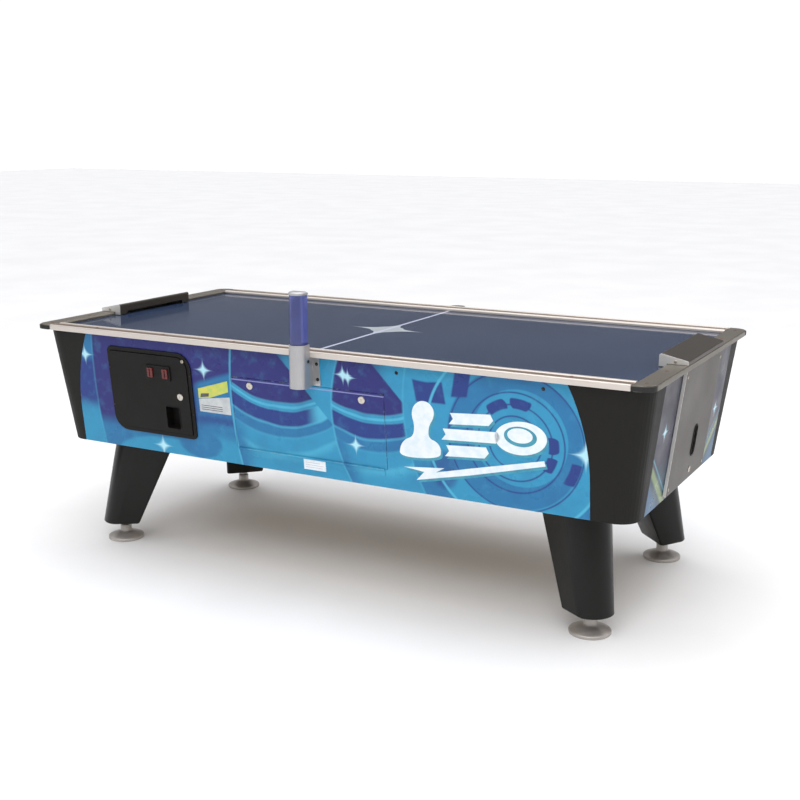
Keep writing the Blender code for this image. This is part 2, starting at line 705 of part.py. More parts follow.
def near_plane():
    """Empty on the near panel's lower edge: X along the table, Y up the slope, Z outward."""
    return frame_empty("near_plane", (0, -SIDE_BOTTOM, CABINET_BOTTOM), (math.pi / 2 + SIDE_LEAN, 0, 0))


def coin_outline(inset):
    u0, v0, u1, v1 = COIN
    small, large = max(0.004, COIN_SMALL - inset), COIN_LARGE - inset
    return rounded(u0 + inset, v0 + inset, u1 - inset, v1 - inset, [large, small, large, small], 5)


def on_plane(item, plane):
    item.parent = plane
    return item


def button_hole(u):
    """Outline of the hole for one coin button, with its clearance."""
    half_u, half_v = BUTTON_HALF_U + 0.0005, BUTTON_HALF_V + 0.0005
    return rounded(u - half_u, BUTTON_V - half_v, u + half_u, BUTTON_V + half_v, [0.003] * 4, 2)


def coin_frame(plane):
    """Flange on the panel with a sleeve through it."""
    flange = prism(coin_outline(0), GAP, 0.005)
    item = on_plane(mesh_object("coin_door_frame", [flange], "door_black", smooth=40), plane)
    boolean(item, [prism(coin_outline(COIN_RIM - 0.004), -SLEEVE_DEPTH, 0.001)], "UNION", parent=plane)
    boolean(item, [prism(coin_outline(COIN_RIM), -0.06, 0.02)], parent=plane)
    return item


def coin_hinge_axis():
    return COIN[0] + COIN_RIM + 0.002, 0.0095


def slope_height(z):
    """Distance up the panel's slope for a height above the floor."""
    return (z - CABINET_BOTTOM) / math.cos(SIDE_LEAN)


BUTTON_U = (-0.636, -0.572)
BUTTON_V = slope_height(0.681)
BUTTON_HALF_U = 0.0115
BUTTON_HALF_V = 0.0170
COIN_LOCK = (-0.520, slope_height(0.604))
COIN_CUP = (-0.590, slope_height(0.484), -0.528, slope_height(0.566))
COIN_DOOR_FRONT = 0.008
SERVICE_LOCKS = ((-0.232, 0.671), (0.191, 0.670))   # across, height above the floor
LOCK_RADIUS = 0.0092


def coin_door(plane):
    hinge_u, hinge_w = coin_hinge_axis()
    outline = coin_outline(COIN_RIM + DOOR_GAP)
    plate = moved(prism(outline, -0.001, COIN_DOOR_FRONT), Matrix.Translation((-hinge_u, 0, -hinge_w)))
    item = mesh_object("coin_door", [plate], "door_black", smooth=40)
    pivot = frame_empty("coin_door_pivot", (hinge_u, 0, hinge_w), (0, 0, 0))
    pivot.parent = plane
    item.parent = pivot
    rim, skin = 0.009, 0.0025
    pocket = prism(coin_outline(COIN_RIM + DOOR_GAP + rim), -0.05, COIN_DOOR_FRONT - skin)
    boolean(item, [pocket], parent=plane)
    cuts = [prism(button_hole(u), -0.05, 0.05) for u in BUTTON_U]
    cuts.append(prism(circle(*COIN_LOCK, LOCK_RADIUS + 0.0006, 20), -0.05, 0.05))
    u0, v0, u1, v1 = COIN_CUP
    cuts.append(prism(rounded(u0, v0, u1, v1, [0.006] * 4, 2), -0.05, 0.05))
    boolean(item, cuts, parent=plane)
    return pivot


def child_of_pivot(item, pivot, plane_place):
    """Parent to the pivot while keeping a place that is given in the panel's plane."""
    item.parent = pivot
    item.location = Vector(plane_place) - pivot.location
    return item


def coin_entry_plate(pivot):
    """Raised surround of the two coin entries."""
    margin_u, margin_v = 0.020, 0.026
    u0, u1 = BUTTON_U[0] - margin_u, BUTTON_U[1] + margin_u
    outer = rounded(u0, BUTTON_V - margin_v, u1, BUTTON_V + margin_v, [0.004] * 4, 3)
    plate = prism(outer, COIN_DOOR_FRONT + GAP, COIN_DOOR_FRONT + 0.004)
    item = mesh_object("coin_entry_plate", [plate], "door_black", smooth=40)
    child_of_pivot(item, pivot, (0, 0, 0))
    boolean(item, [prism(button_hole(u), -0.02, 0.05) for u in BUTTON_U], parent=item)
    return item


def coin_button(index, name, pivot):
    """Red coin-reject button with the coin slot in it."""
    u = BUTTON_U[index]
    face = rounded(-BUTTON_HALF_U, -BUTTON_HALF_V, BUTTON_HALF_U, BUTTON_HALF_V, [0.0028] * 4, 2)
    item = mesh_object(name, [prism(face, -0.004, 0.0160)], "button_red", smooth=40)
    child_of_pivot(item, pivot, (u, BUTTON_V, 0))
    slot = box((-0.0016, -0.0130, 0.0100), (0.0016, 0.0130, 0.0200))
    boolean(item, [slot], parent=item)
    return item


def coin_mech(pivot):
    """Twin coin mechanism behind the slots, in moulded cases."""
    margin, low, high, back, front = 0.024, BUTTON_V - 0.092, BUTTON_V + 0.012, -0.062, -0.0095
    body = box((BUTTON_U[0] - margin, low, back), (BUTTON_U[1] + margin, high, front))
    item = mesh_object("coin_mech", [body], "blower_black")
    return child_of_pivot(item, pivot, (0, 0, 0))


def coin_cup(pivot):
    """Coin return pocket, open at its face."""
    u0, v0, u1, v1 = COIN_CUP
    inset = 0.0005
    outer = rounded(u0 + inset, v0 + inset, u1 - inset, v1 - inset, [0.0055] * 4, 2)
    item = mesh_object("coin_return_cup", [prism(outer, -0.030, 0.0095)], "door_black", smooth=40)
    child_of_pivot(item, pivot, (0, 0, 0))
    wall = 0.0025
    inner = rounded(u0 + wall, v0 + wall, u1 - wall, v1 - wall, [0.004] * 4, 2)
    boolean(item, [prism(inner, -0.0275, 0.02)], parent=item)
    return item


def cam_lock(name, front, back, cam_reach):
    """Lock barrel through a board, with a bezel in front and a cam behind, about its own axis."""
    r, bezel = LOCK_RADIUS, 0.0125
    profile = [(0, back), (r, back), (r, front + GAP), (bezel, front + GAP), (bezel, front + 0.0022),
               (bezel - 0.002, front + 0.0034), (0, front + 0.0034)]
    item = mesh_object(name, [turned(profile, (0, 0), 20)], "lock_steel", smooth=35)
    half = 0.007
    reach_u, reach_v = max(half, cam_reach[0]), max(half, cam_reach[1])
    outline = rounded(-half, -half, reach_u, reach_v, [half - 0.0001] * 4, 3)
    cam = prism(outline, back - 0.0025, back + 0.0003)
    key = box((-0.0008, -0.0045, front + 0.0015), (0.0008, 0.0045, front + 0.01))
    boolean(item, [cam], "UNION", parent=item)
    boolean(item, [key], parent=item)
    return item


def service_door(plane):
    u0, v0, u1, v1 = SERVICE
    pivot = frame_empty("service_door_pivot", (0, v0, HINGE_OUT), (0, 0, 0))
    pivot.parent = plane
    thick = WALL * math.cos(SIDE_LEAN)
    board = box((u0 + DOOR_GAP, DOOR_GAP, -thick - HINGE_OUT),
                (u1 - DOOR_GAP, v1 - v0 - DOOR_GAP, -HINGE_OUT))
    item = mesh_object("service_door", [board], "laminate")
    item.parent = pivot
    holes = []
    for u, z in SERVICE_LOCKS:
        holes.append(prism(circle(u, slope_height(z), LOCK_RADIUS + 0.0006, 20), -0.05, 0.05))
    boolean(item, holes, parent=plane)
    return pivot


def service_hinge(plane):
    """Piano hinge along the service door's lower edge: fixed leaf and knuckle."""
    left, right, v0 = SERVICE[0] + 0.010, SERVICE[2] - 0.010, SERVICE[1]
    knuckle = prism(circle(v0, HINGE_OUT, 0.0030, 10), left, right, "X")
    item = on_plane(mesh_object("service_hinge", [knuckle], "lock_steel", smooth=40), plane)
    leaf = box((left, v0 - 0.022, GAP), (right, v0 - 0.0005, 0.0019))
    boolean(item, [leaf], "UNION", parent=plane)
    return item


def door_cutouts(panel, plane):
    u0, v0, u1, v1 = SERVICE
    service = box((u0, v0, -0.06), (u1, v1, 0.03))
    coin = prism(coin_outline(COIN_RIM - 0.005), -0.06, 0.03)
    boolean(panel, [service, coin], parent=plane)


# ---------------------------------------------------------------- inside the cabinet
def cash_box():
    """Open steel box for the coins, under the coin mechanisms."""
    low, high, wall = CABINET_BOTTOM + WALL + GAP, 0.475, 0.002
    x0, y0, x1, y1 = -0.780, -0.430, -0.500, -0.270
    item = mesh_object("cash_box", [box((x0, y0, low), (x1, y1, high))], "grey_sheet")
    boolean(item, [box((x0 + wall, y0 + wall, low + wall), (x1 - wall, y1 - wall, high + 0.02))])
    return item


def control_box():
    """Sheet cover over the electronics on the bottom board, open underneath."""
    low, height, sheet = CABINET_BOTTOM + WALL + GAP, 0.085, 0.002
    x0, y0, x1, y1 = 0.300, 0.120, 0.560, 0.330
    outline = rounded(x0, y0, x1, y1, [0.004] * 4, 2)
    item = mesh_object("control_box", [prism(outline, low, low + height)], "grey_sheet")
    inside = box((x0 + sheet, y0 + sheet, low - 0.01), (x1 - sheet, y1 - sheet, low + height - sheet))
    boolean(item, [inside])
    return item


def power_inlet():
    """Mains inlet plate low on the far panel, with its recessed socket."""
    z = 0.450
    lean = Matrix.Rotation(-math.pi / 2 - SIDE_LEAN, 4, "X")
    place = Matrix.Translation((0.70, half_y(z) + GAP, z)) @ lean
    plate = moved(prism(rounded(-0.034, -0.026, 0.034, 0.026, [0.004] * 4, 3), 0, 0.0030), place)
    item = mesh_object("power_inlet", [plate], "blower_black", smooth=40)
    recess = moved(prism(rounded(-0.020, -0.012, 0.012, 0.012, [0.003] * 4, 2), 0.0010, 0.02), place)
    boolean(item, [recess])
    return item


def build():
    clear_scene()
    ends = {"left": -1, "right": 1}
    sides = {"near": -1, "far": 1}
    plane = near_plane()

    near_panel = side_panel(-1, "side_panel_near")
    door_cutouts(near_panel, plane)
    side_panel(1, "side_panel_far")
    bottom_panel()
    intake_grille()
    playfield()
    plenum_frame()
    plenum_floor()
    support_frame()

    for end, sx in ends.items():
        end_panel(sx, "end_panel_" + end)
        end_cover(sx, "end_cover_" + end)
        puck_chute(sx, "puck_chute_" + end)
        end_rail(sx, "end_rail_" + end)
        goal_hood(sx, "goal_hood_" + end)
        for side, sy in sides.items():
            corner_shell(sx, sy, f"corner_shell_{side}_{end}")
            corner_bumper(sx, sy, f"corner_bumper_{side}_{end}")
            leg(sx, sy, f"leg_{side}_{end}")
            leveller(sx, sy, f"leveller_{side}_{end}")

    for side, sy in sides.items():
        side_rail(sy, "side_rail_" + side)

    score_bracket(-1, BRACKET_HIGH_NEAR, "score_bracket_near")
    score_bracket(1, BRACKET_HIGH_FAR, "score_bracket_far")
    score_post()
    score_post_cap()

    blower_housing()
    blower_impeller()
    blower_motor()
    motor_bracket()

    coin_frame(plane)
    pivot = coin_door(plane)
    coin_entry_plate(pivot)
    coin_cup(pivot)
    coin_mech(pivot)
    for index, side in enumerate(("left", "right")):
        coin_button(index, "coin_button_" + side, pivot)
    lock = cam_lock("coin_door_lock", COIN_DOOR_FRONT, -SLEEVE_DEPTH - 0.003, (0, 0.046))
    child_of_pivot(lock, pivot, (*COIN_LOCK, 0))

    hatch_pivot = service_door(plane)
    for (u, z), side in zip(SERVICE_LOCKS, ("left", "right")):
        lock = cam_lock("service_lock_" + side, 0.0, -0.022, (0.034, 0))
        child_of_pivot(lock, hatch_pivot, (u, slope_height(z), 0))
    service_hinge(plane)

    cash_box()
    control_box()
    power_inlet()


build()
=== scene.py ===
# Looks of the air hockey table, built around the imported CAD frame. Metres, +Z up.

import json
import math

import bmesh
import bpy
from mathutils import Matrix, Vector


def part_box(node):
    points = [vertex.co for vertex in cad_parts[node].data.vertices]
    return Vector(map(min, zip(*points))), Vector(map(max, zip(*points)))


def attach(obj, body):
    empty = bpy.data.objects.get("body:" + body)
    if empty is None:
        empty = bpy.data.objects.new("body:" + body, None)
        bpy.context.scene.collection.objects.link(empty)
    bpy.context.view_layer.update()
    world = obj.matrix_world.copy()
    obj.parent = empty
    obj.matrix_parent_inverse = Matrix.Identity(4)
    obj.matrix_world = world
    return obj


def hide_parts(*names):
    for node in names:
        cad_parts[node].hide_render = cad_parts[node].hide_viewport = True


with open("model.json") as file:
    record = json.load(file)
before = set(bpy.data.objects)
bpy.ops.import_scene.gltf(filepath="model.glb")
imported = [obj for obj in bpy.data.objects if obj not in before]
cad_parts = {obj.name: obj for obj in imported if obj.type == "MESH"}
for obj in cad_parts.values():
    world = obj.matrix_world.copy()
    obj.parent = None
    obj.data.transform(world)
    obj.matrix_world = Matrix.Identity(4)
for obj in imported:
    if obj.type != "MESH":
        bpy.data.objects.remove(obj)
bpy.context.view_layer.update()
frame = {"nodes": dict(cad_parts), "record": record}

# ---------------------------------------------------------------- the table's own dimensions
HEIGHT = 0.815                  # top of the side rails
PLAY_Z = 0.803                  # playing surface
HALF_WIDTH = 0.545              # over the side rails
CABINET_LOW = 0.389             # lower edge of the cabinet
CABINET_RISE = 0.407            # from there to its top
SIDE_LOW, SIDE_HIGH = 0.475, 0.518      # half-width of the cabinet at its lower edge and top
END_LOW, END_HIGH = 1.063, 1.112        # half-length at the same heights
COVER_PROUD = 0.011             # end cover, out from the end panel
HOOD_HALF = 0.205               # half-width of the hoods and end covers
RAIL_SCREW_PITCH = 0.292
RAIL_SCREW_INSET = 0.040        # from the side rail's outer edge
END_SCREW_X = 1.091
END_SCREW_Y = (-0.50, -0.31, 0.31, 0.50)
PANEL_SCREW_U = (0.320, 0.796)  # the same distances from the middle on either side of it
PANEL_SCREW_Z = 0.770
RETURN_Y = 0.030                # middle of the puck return slot
RETURN_Z = 0.533
RETURN_RADIUS, RETURN_STRAIGHT = 0.0171, 0.032
COVER_LOCK_Z = 0.436
AIR_HOLE_PITCH, AIR_HOLE_RADIUS = 0.0254, 0.0008
LINE_HALF = 0.0060              # half-width of the centre line
MOTIF_REACH, MOTIF_DISC = 0.150, 0.058
ROOT = "table"


def half_y(z):
    return SIDE_LOW + (SIDE_HIGH - SIDE_LOW) * (z - CABINET_LOW) / CABINET_RISE


def half_x(z):
    return END_LOW + (END_HIGH - END_LOW) * (z - CABINET_LOW) / CABINET_RISE


SIDE_LEAN = math.atan((SIDE_HIGH - SIDE_LOW) / CABINET_RISE)
END_LEAN = math.atan((END_HIGH - END_LOW) / CABINET_RISE)


def rgb(r, g, b):
    """Linear colour of a display colour given from 0 to 255."""
    return tuple(v / 255 / 12.92 if v <= 10 else ((v / 255 + 0.055) / 1.055) ** 2.4 for v in (r, g, b))


# ---------------------------------------------------------------- camera
CAMERA_PLACE = (2.0390, -3.6424, 1.4977)
CAMERA_YAW, CAMERA_PITCH = -0.4995, -0.22357       # radians; yaw 0 looks along +Y
SENSOR_WIDTH, LENS = 36.0, 54.2                    # mm


def make_camera():
    data = bpy.data.cameras.new("camera")
    data.sensor_width, data.lens = SENSOR_WIDTH, LENS
    data.dof.use_dof = False
    item = bpy.data.objects.new("camera", data)
    bpy.context.scene.collection.objects.link(item)
    level = math.cos(CAMERA_PITCH)
    aim = Vector((math.sin(CAMERA_YAW) * level, math.cos(CAMERA_YAW) * level, math.sin(CAMERA_PITCH)))
    item.location = CAMERA_PLACE
    item.rotation_euler = aim.to_track_quat("-Z", "Y").to_euler()
    bpy.context.scene.camera = item


make_camera()


# ---------------------------------------------------------------- shader building
class Value:
    """A shader socket that takes part in sums."""

    def __init__(self, shade, socket):
        self.shade, self.socket = shade, socket

    def do(self, kind, *others):
        return self.shade.math(kind, self, *others)

    def __add__(self, other):
        return self.do("ADD", other)

    __radd__ = __add__

    def __sub__(self, other):
        return self.do("SUBTRACT", other)

    def __rsub__(self, other):
        return self.shade.math("SUBTRACT", other, self)

    def __mul__(self, other):
        return self.do("MULTIPLY", other)

    __rmul__ = __mul__

    def __truediv__(self, other):
        return self.do("DIVIDE", other)

    def square(self):
        return self * self

    def magnitude(self):
        return self.do("ABSOLUTE")

    def root(self):
        return self.do("SQRT")

    def over(self, level, soft):
        """1 above a level, 0 below it, over a soft edge."""
        return self.shade.ramp(self - level, -soft, soft)

    def under(self, level, soft):
        return 1.0 - self.over(level, soft)

    def within(self, low, high, soft):
        return self.over(low, soft) * self.under(high, soft)


class Shade:
    """A material under construction."""

    def __init__(self, name):
        self.material = bpy.data.materials.new(name)
        self.material.use_nodes = True
        self.tree = self.material.node_tree
        self.bsdf = self.tree.nodes["Principled BSDF"]
        self.place = self.make("ShaderNodeTexCoord").outputs["Object"]
        split = self.make("ShaderNodeSeparateXYZ")
        self.tree.links.new(self.place, split.inputs[0])
        self.x, self.y, self.z = [Value(self, out) for out in split.outputs]

    def make(self, kind, **settings):
        node = self.tree.nodes.new(kind)
        for key, value in settings.items():
            setattr(node, key, value)
        return node

    def put(self, value, socket):
        if isinstance(value, Value):
            self.tree.links.new(value.socket, socket)
        elif hasattr(value, "is_output"):
            self.tree.links.new(value, socket)
        elif isinstance(value, tuple) and len(value) == 3 and socket.type == "RGBA":
            socket.default_value = (*value, 1.0)
        else:
            socket.default_value = value

    def math(self, kind, *values):
        node = self.make("ShaderNodeMath", operation=kind)
        for value, socket in zip(values, node.inputs):
            self.put(value, socket)
        return Value(self, node.outputs[0])

    def ramp(self, value, low, high, start=0.0, end=1.0):
        node = self.make("ShaderNodeMapRange", interpolation_type="SMOOTHSTEP")
        for number, socket in zip((value, low, high, start, end), node.inputs):
            self.put(number, socket)
        return Value(self, node.outputs[0])

    def stretched(self, scale):
        node = self.make("ShaderNodeVectorMath", operation="MULTIPLY")
        self.put(self.place, node.inputs[0])
        node.inputs[1].default_value = scale
        return node.outputs[0]

    def noise(self, scale, detail=3.0, stretch=(1, 1, 1), rough=0.5):
        node = self.make("ShaderNodeTexNoise")
        self.put(self.stretched(tuple(scale * s for s in stretch)), node.inputs["Vector"])
        node.inputs["Scale"].default_value = 1.0
        node.inputs["Detail"].default_value = detail
        node.inputs["Roughness"].default_value = rough
        return Value(self, node.outputs[0])

    def cells(self, scale):
        node = self.make("ShaderNodeTexVoronoi", feature="F1")
        self.put(self.stretched((scale, scale, scale)), node.inputs["Vector"])
        node.inputs["Scale"].default_value = 1.0
        return Value(self, node.outputs[0])

    def mix(self, mask, low, high):
        node = self.make("ShaderNodeMix", data_type="RGBA")
        self.put(mask, node.inputs[0])
        self.put(low, node.inputs[6])
        self.put(high, node.inputs[7])
        return node.outputs[2]

    def bump(self, height, strength, distance):
        node = self.make("ShaderNodeBump")
        node.inputs["Strength"].default_value = strength
        node.inputs["Distance"].default_value = distance
        self.put(height, node.inputs["Height"])
        return node.outputs[0]

    def edges(self, width):
        """1 along edges, where a rounded normal leaves the true one."""
        bevel = self.make("ShaderNodeBevel", samples=4)
        bevel.inputs["Radius"].default_value = width
        geometry = self.make("ShaderNodeNewGeometry")
        dot = self.make("ShaderNodeVectorMath", operation="DOT_PRODUCT")
        self.tree.links.new(bevel.outputs[0], dot.inputs[0])
        self.tree.links.new(geometry.outputs["Normal"], dot.inputs[1])
        return self.ramp(Value(self, dot.outputs["Value"]), 0.995, 0.93)

    def set(self, **sockets):
        for key, value in sockets.items():
            self.put(value, self.bsdf.inputs[key.replace("_", " ")])


def surface(name, colour, rough, metallic=0.0, spread=0.15, patch=7.0, grain=700.0, stretch=(1, 1, 1),
            relief=0.25, depth=0.00015, wear=None, wear_width=0.0012, pebble=0.0, **more):
    """A finish with patchy colour, uneven roughness, fine relief and, where asked for, worn edges."""
    s = Shade(name)
    patches = s.noise(patch, 4.0)
    fine = s.noise(grain, 2.0, stretch)
    shade_fac = s.ramp(patches * 0.65 + fine * 0.35, 0.30, 0.70)
    dark = tuple(c * (1 - spread) for c in colour)
    light = tuple(min(1.0, c * (1 + spread)) for c in colour)
    tone = s.mix(shade_fac, dark, light)
    roughness = s.ramp(fine * 0.5 + patches * 0.5, 0.3, 0.7, rough - 0.08, rough + 0.08)
    if wear:
        mask = s.edges(wear_width) * s.ramp(s.noise(60.0, 3.0), 0.42, 0.62)
        tone = s.mix(mask, tone, wear)
    height = fine
    if pebble:
        height = fine * 0.3 + s.cells(pebble) * 0.7
    s.set(Base_Color=tone, Roughness=roughness, Metallic=metallic)
    s.set(Normal=s.bump(height, relief, depth), **more)
    return s.material


# ---------------------------------------------------------------- printed side panels
VIOLET = rgb(48, 50, 114)
INDIGO = rgb(44, 64, 130)
MID = rgb(46, 116, 164)
CYAN = rgb(54, 144, 184)
BRIGHT = rgb(80, 174, 206)
PALE = rgb(178, 226, 240)


def star(u, z, u0, z0, size):
    """A four-pointed glint."""
    reach = ((u - u0).magnitude() / size).root() + ((z - z0).magnitude() / size).root()
    return reach.under(0.85, 0.25)


def disc(u, z, u0, z0, wide, high, soft=0.12):
    return (((u - u0) / wide).square() + ((z - z0) / high).square()).under(1.0, soft)


def ring(u, z, u0, z0, radius, half):
    away = ((u - u0).square() + (z - z0).square()).root()
    return (away - radius).magnitude().under(half, 0.003)


def column_edge(z, at, bend, level):
    """Where a printed column starts: a shallow bow about one height."""
    return at + (z - level).square() * bend


def smile(u, z, middle, low, bend):
    """Height above an arc that sags in its middle."""
    return z - (u - middle).square() * bend - low


def side_art(s):
    """Blue columns with sagging arcs, overlapping rings and small glints, in the panel's own place."""
    near = s.y.under(0.0, 0.01)
    u = s.x * (near * 2.0 - 1.0)
    z = s.z
    swirl = (s.noise(5.0, 2.0) - 0.5) * 0.03
    zs = z + swirl

    starts = [column_edge(z, -0.903, 0.35, 0.62), column_edge(z, -0.312, 0.45, 0.61),
              column_edge(z, 0.078, 1.1, 0.62), column_edge(z, 0.336, 0.9, 0.66)]
    inside = [(u - start).over(0.0, 0.0015) for start in starts]

    # left edge strip
    tone = s.mix(zs.over(0.535, 0.03), CYAN, INDIGO)
    tone = s.mix(zs.over(0.70, 0.02), tone, MID)

    # column behind the coin door
    door_side = s.mix(zs.over(0.485, 0.03), MID, VIOLET)
    door_side = s.mix(disc(u, zs, -0.62, 0.36, 0.22, 0.085), door_side, CYAN)
    right = u.over(-0.46, 0.03)
    door_side = s.mix(right * (zs - (u + 0.36) * 0.35).under(0.690, 0.012), door_side, MID)
    door_side = s.mix(right * zs.under(0.545, 0.03), door_side, INDIGO)
    door_side = s.mix(right * zs.under(0.520, 0.02), door_side, MID)
    door_side = s.mix(right * zs.under(0.470, 0.02), door_side, CYAN)
    door_side = s.mix(disc(u, zs, -0.46, 0.440, 0.09, 0.050, 0.2), door_side, MID)
    tone = s.mix(inside[0], tone, door_side)

    # two columns of sagging arcs
    for index, middle in ((1, -0.125), (2, 0.225)):
        arc = smile(u, zs, middle, 0.600, 1.7)
        arcs = s.mix(arc.over(-0.165, 0.03), CYAN, BRIGHT)
        arcs = s.mix(arc.within(-0.150, -0.095, 0.010), arcs, CYAN)
        arcs = s.mix(arc.within(-0.095, -0.060, 0.006), arcs, MID)
        arcs = s.mix(arc.within(-0.055, -0.004, 0.006) * (u - middle).under(0.13, 0.03), arcs, INDIGO)
        arcs = s.mix(arc.within(-0.004, 0.020, 0.004), arcs, CYAN)
        arcs = s.mix(arc.within(0.004, 0.012, 0.003), arcs, BRIGHT)
        arcs = s.mix(arc.over(0.022, 0.006), arcs, VIOLET)
        bow = (u - starts[index]).under(0.035, 0.03) * zs.under(0.55, 0.05)
        arcs = s.mix(bow, arcs, MID)
        sheen = (z - (middle + 0.10 - u) * 1.1).over(0.690, 0.004) * (u - middle).over(0.02, 0.06)
        arcs = s.mix(sheen, arcs, CYAN)
        tone = s.mix(inside[index], tone, arcs)

    # open field with rings
    field = s.mix(zs.over(0.50, 0.10), MID, CYAN)
    field = s.mix(disc(u, z, 0.70, 0.60, 0.285, 0.285, 0.03), field, CYAN)
    field = s.mix(disc(u, z, 0.70, 0.60, 0.215, 0.215, 0.03), field, MID)
    field = s.mix(disc(u, z, 0.72, 0.61, 0.150, 0.150, 0.03), field, CYAN)
    block = (u + (z - 0.72) * 0.15).within(0.378, 0.478, 0.004) * zs.within(0.690, 0.757, 0.004)
    block = block + (u - (z - 0.75) * 0.20).within(0.508, 0.560, 0.004) * zs.over(0.712, 0.004)
    field = s.mix(block, field, INDIGO)
    field = s.mix(disc(u, zs, 0.470, 0.480, 0.045, 0.060, 0.5) * 0.7, field, INDIGO)
    inner_band = ring(u, z, 0.705, 0.595, 0.122, 0.016)
    for u0, z0, wide, high in ((0.650, 0.700, 0.034, 0.030), (0.725, 0.722, 0.034, 0.030),
                               (0.820, 0.600, 0.030, 0.026), (0.815, 0.540, 0.034, 0.024)):
        field = s.mix(inner_band * disc(u, z, u0, z0, wide, high, 0.15), field, INDIGO)
    outer_band = ring(u, z, 0.705, 0.595, 0.196, 0.016)
    field = s.mix(outer_band * disc(u, z, 0.885, 0.520, 0.060, 0.035, 0.15), field, INDIGO)
    for radius in (0.155, 0.118, 0.083, 0.215):
        field = s.mix(ring(u, z, 0.705, 0.595, radius, 0.0022), field, INDIGO)
    field = s.mix(ring(u, z, 0.70, 0.60, 0.285, 0.004), field, BRIGHT)
    tone = s.mix(inside[3], tone, field)

    # bright rims of the columns, and glints
    for start, strength in zip(starts, (0.25, 0.75, 0.55, 0.35)):
        rim = (u - start).magnitude().under(0.0035, 0.0030)
        tone = s.mix(rim * strength, tone, BRIGHT)
    for u0, z0, size in ((-0.935, 0.715, 0.045), (-0.417, 0.707, 0.045), (0.128, 0.745, 0.040),
                         (0.146, 0.738, 0.036), (0.160, 0.518, 0.040), (0.923, 0.585, 0.060),
                         (-0.625, 0.415, 0.050), (0.700, 0.640, 0.030)):
        tone = s.mix(star(u, z, u0, z0, size), tone, PALE)

    # the pale cut edge along the top of the service door
    cut = z.within(0.6862, 0.6900, 0.0008) * u.within(-0.305, 0.271, 0.001) * near
    tone = s.mix(cut * 0.7, tone, rgb(150, 156, 205))

    # the print's own unevenness
    tone = s.mix(s.ramp(s.noise(14.0, 5.0), 0.45, 0.75) * 0.16, tone, VIOLET)
    tone = s.mix(s.ramp(s.noise(30.0, 4.0), 0.5, 0.8) * 0.14, tone, BRIGHT)
    return tone


def laminate_material(name, art):
    s = Shade(name)
    tone = art(s)
    worn = s.edges(0.0015) * s.ramp(s.noise(70.0, 3.0), 0.45, 0.65)
    tone = s.mix(worn, tone, rgb(150, 165, 175))
    haze = s.noise(9.0, 4.0)
    s.set(Base_Color=tone, Roughness=s.ramp(haze, 0.3, 0.7, 0.26, 0.38))
    s.set(Specular_IOR_Level=0.20, Normal=s.bump(s.noise(420.0, 2.0), 0.06, 0.0001))
    return s.material


def end_art(s):
    """Printed strips beside the end covers: violet above, teal below, slanting streaks, two glints."""
    away = s.y.magnitude()
    zs = s.z + (s.noise(7.0, 2.0) - 0.5) * 0.05
    tone = s.mix(zs.over(0.50, 0.05), rgb(34, 70, 88), rgb(32, 30, 58))
    tone = s.mix(zs.over(0.68, 0.06), tone, rgb(33, 31, 48))
    slant = s.z - (away - 0.30) * 0.8
    tone = s.mix(slant.within(0.455, 0.485, 0.008) * away.under(0.37, 0.01), tone, rgb(128, 148, 104))
    tone = s.mix(slant.within(0.500, 0.508, 0.004), tone, rgb(76, 136, 156))
    tone = s.mix(slant.under(0.425, 0.02), tone, rgb(42, 92, 130))
    tone = s.mix(star(s.y, s.z, -0.30, 0.63, 0.04), tone, PALE)
    tone = s.mix(star(s.y, s.z, 0.30, 0.58, 0.04), tone, PALE)
    return s.mix(s.ramp(s.noise(20.0, 4.0), 0.5, 0.8) * 0.10, tone, CYAN)


# ---------------------------------------------------------------- playing surface
def playfield_material():
    """Polished sheet: a pale centre line and motif, and a grid of fine air holes painted near-black as
    painted shade.
    """
    s = Shade("playfield_sheet")
    tone = s.mix(s.ramp(s.noise(3.0, 3.0), 0.35, 0.65), rgb(44, 58, 84), rgb(49, 63, 89))
    tone = s.mix(s.ramp(s.noise(900.0, 2.0), 0.5, 0.7) * 0.25, tone, rgb(90, 104, 132))
    line = rgb(196, 200, 222)
    middle = s.x.magnitude().under(LINE_HALF, 0.0008)
    reach = (s.x.magnitude() / MOTIF_REACH).root() + (s.y.magnitude() / MOTIF_REACH).root()
    burst = reach.under(1.0, 0.02)
    disc_mask = (s.x.square() + s.y.square()).root().under(MOTIF_DISC, 0.002)
    tone = s.mix(burst, tone, rgb(186, 192, 196))
    tone = s.mix(disc_mask, tone, rgb(176, 184, 190))
    tone = s.mix(middle, tone, line)
    cell_x = (s.x / AIR_HOLE_PITCH).do("FRACT") - 0.5
    cell_y = (s.y / AIR_HOLE_PITCH).do("FRACT") - 0.5
    away = (cell_x.square() + cell_y.square()).root() * AIR_HOLE_PITCH
    hole = away.under(AIR_HOLE_RADIUS, 0.0002) * s.z.over(PLAY_Z - 0.002, 0.0005)
    # painted shade: the air holes are drawn near-black for the shade inside them
    tone = s.mix(hole, tone, rgb(8, 9, 12))
    scratches = s.noise(260.0, 2.0, (0.08, 1.0, 1.0))
    s.set(Base_Color=tone, Roughness=s.ramp(scratches, 0.35, 0.75, 0.08, 0.14))
    height = 1.0 - hole + scratches * 0.02
    s.set(Specular_IOR_Level=0.42, Normal=s.bump(height, 0.5, 0.0006))
    return s.material


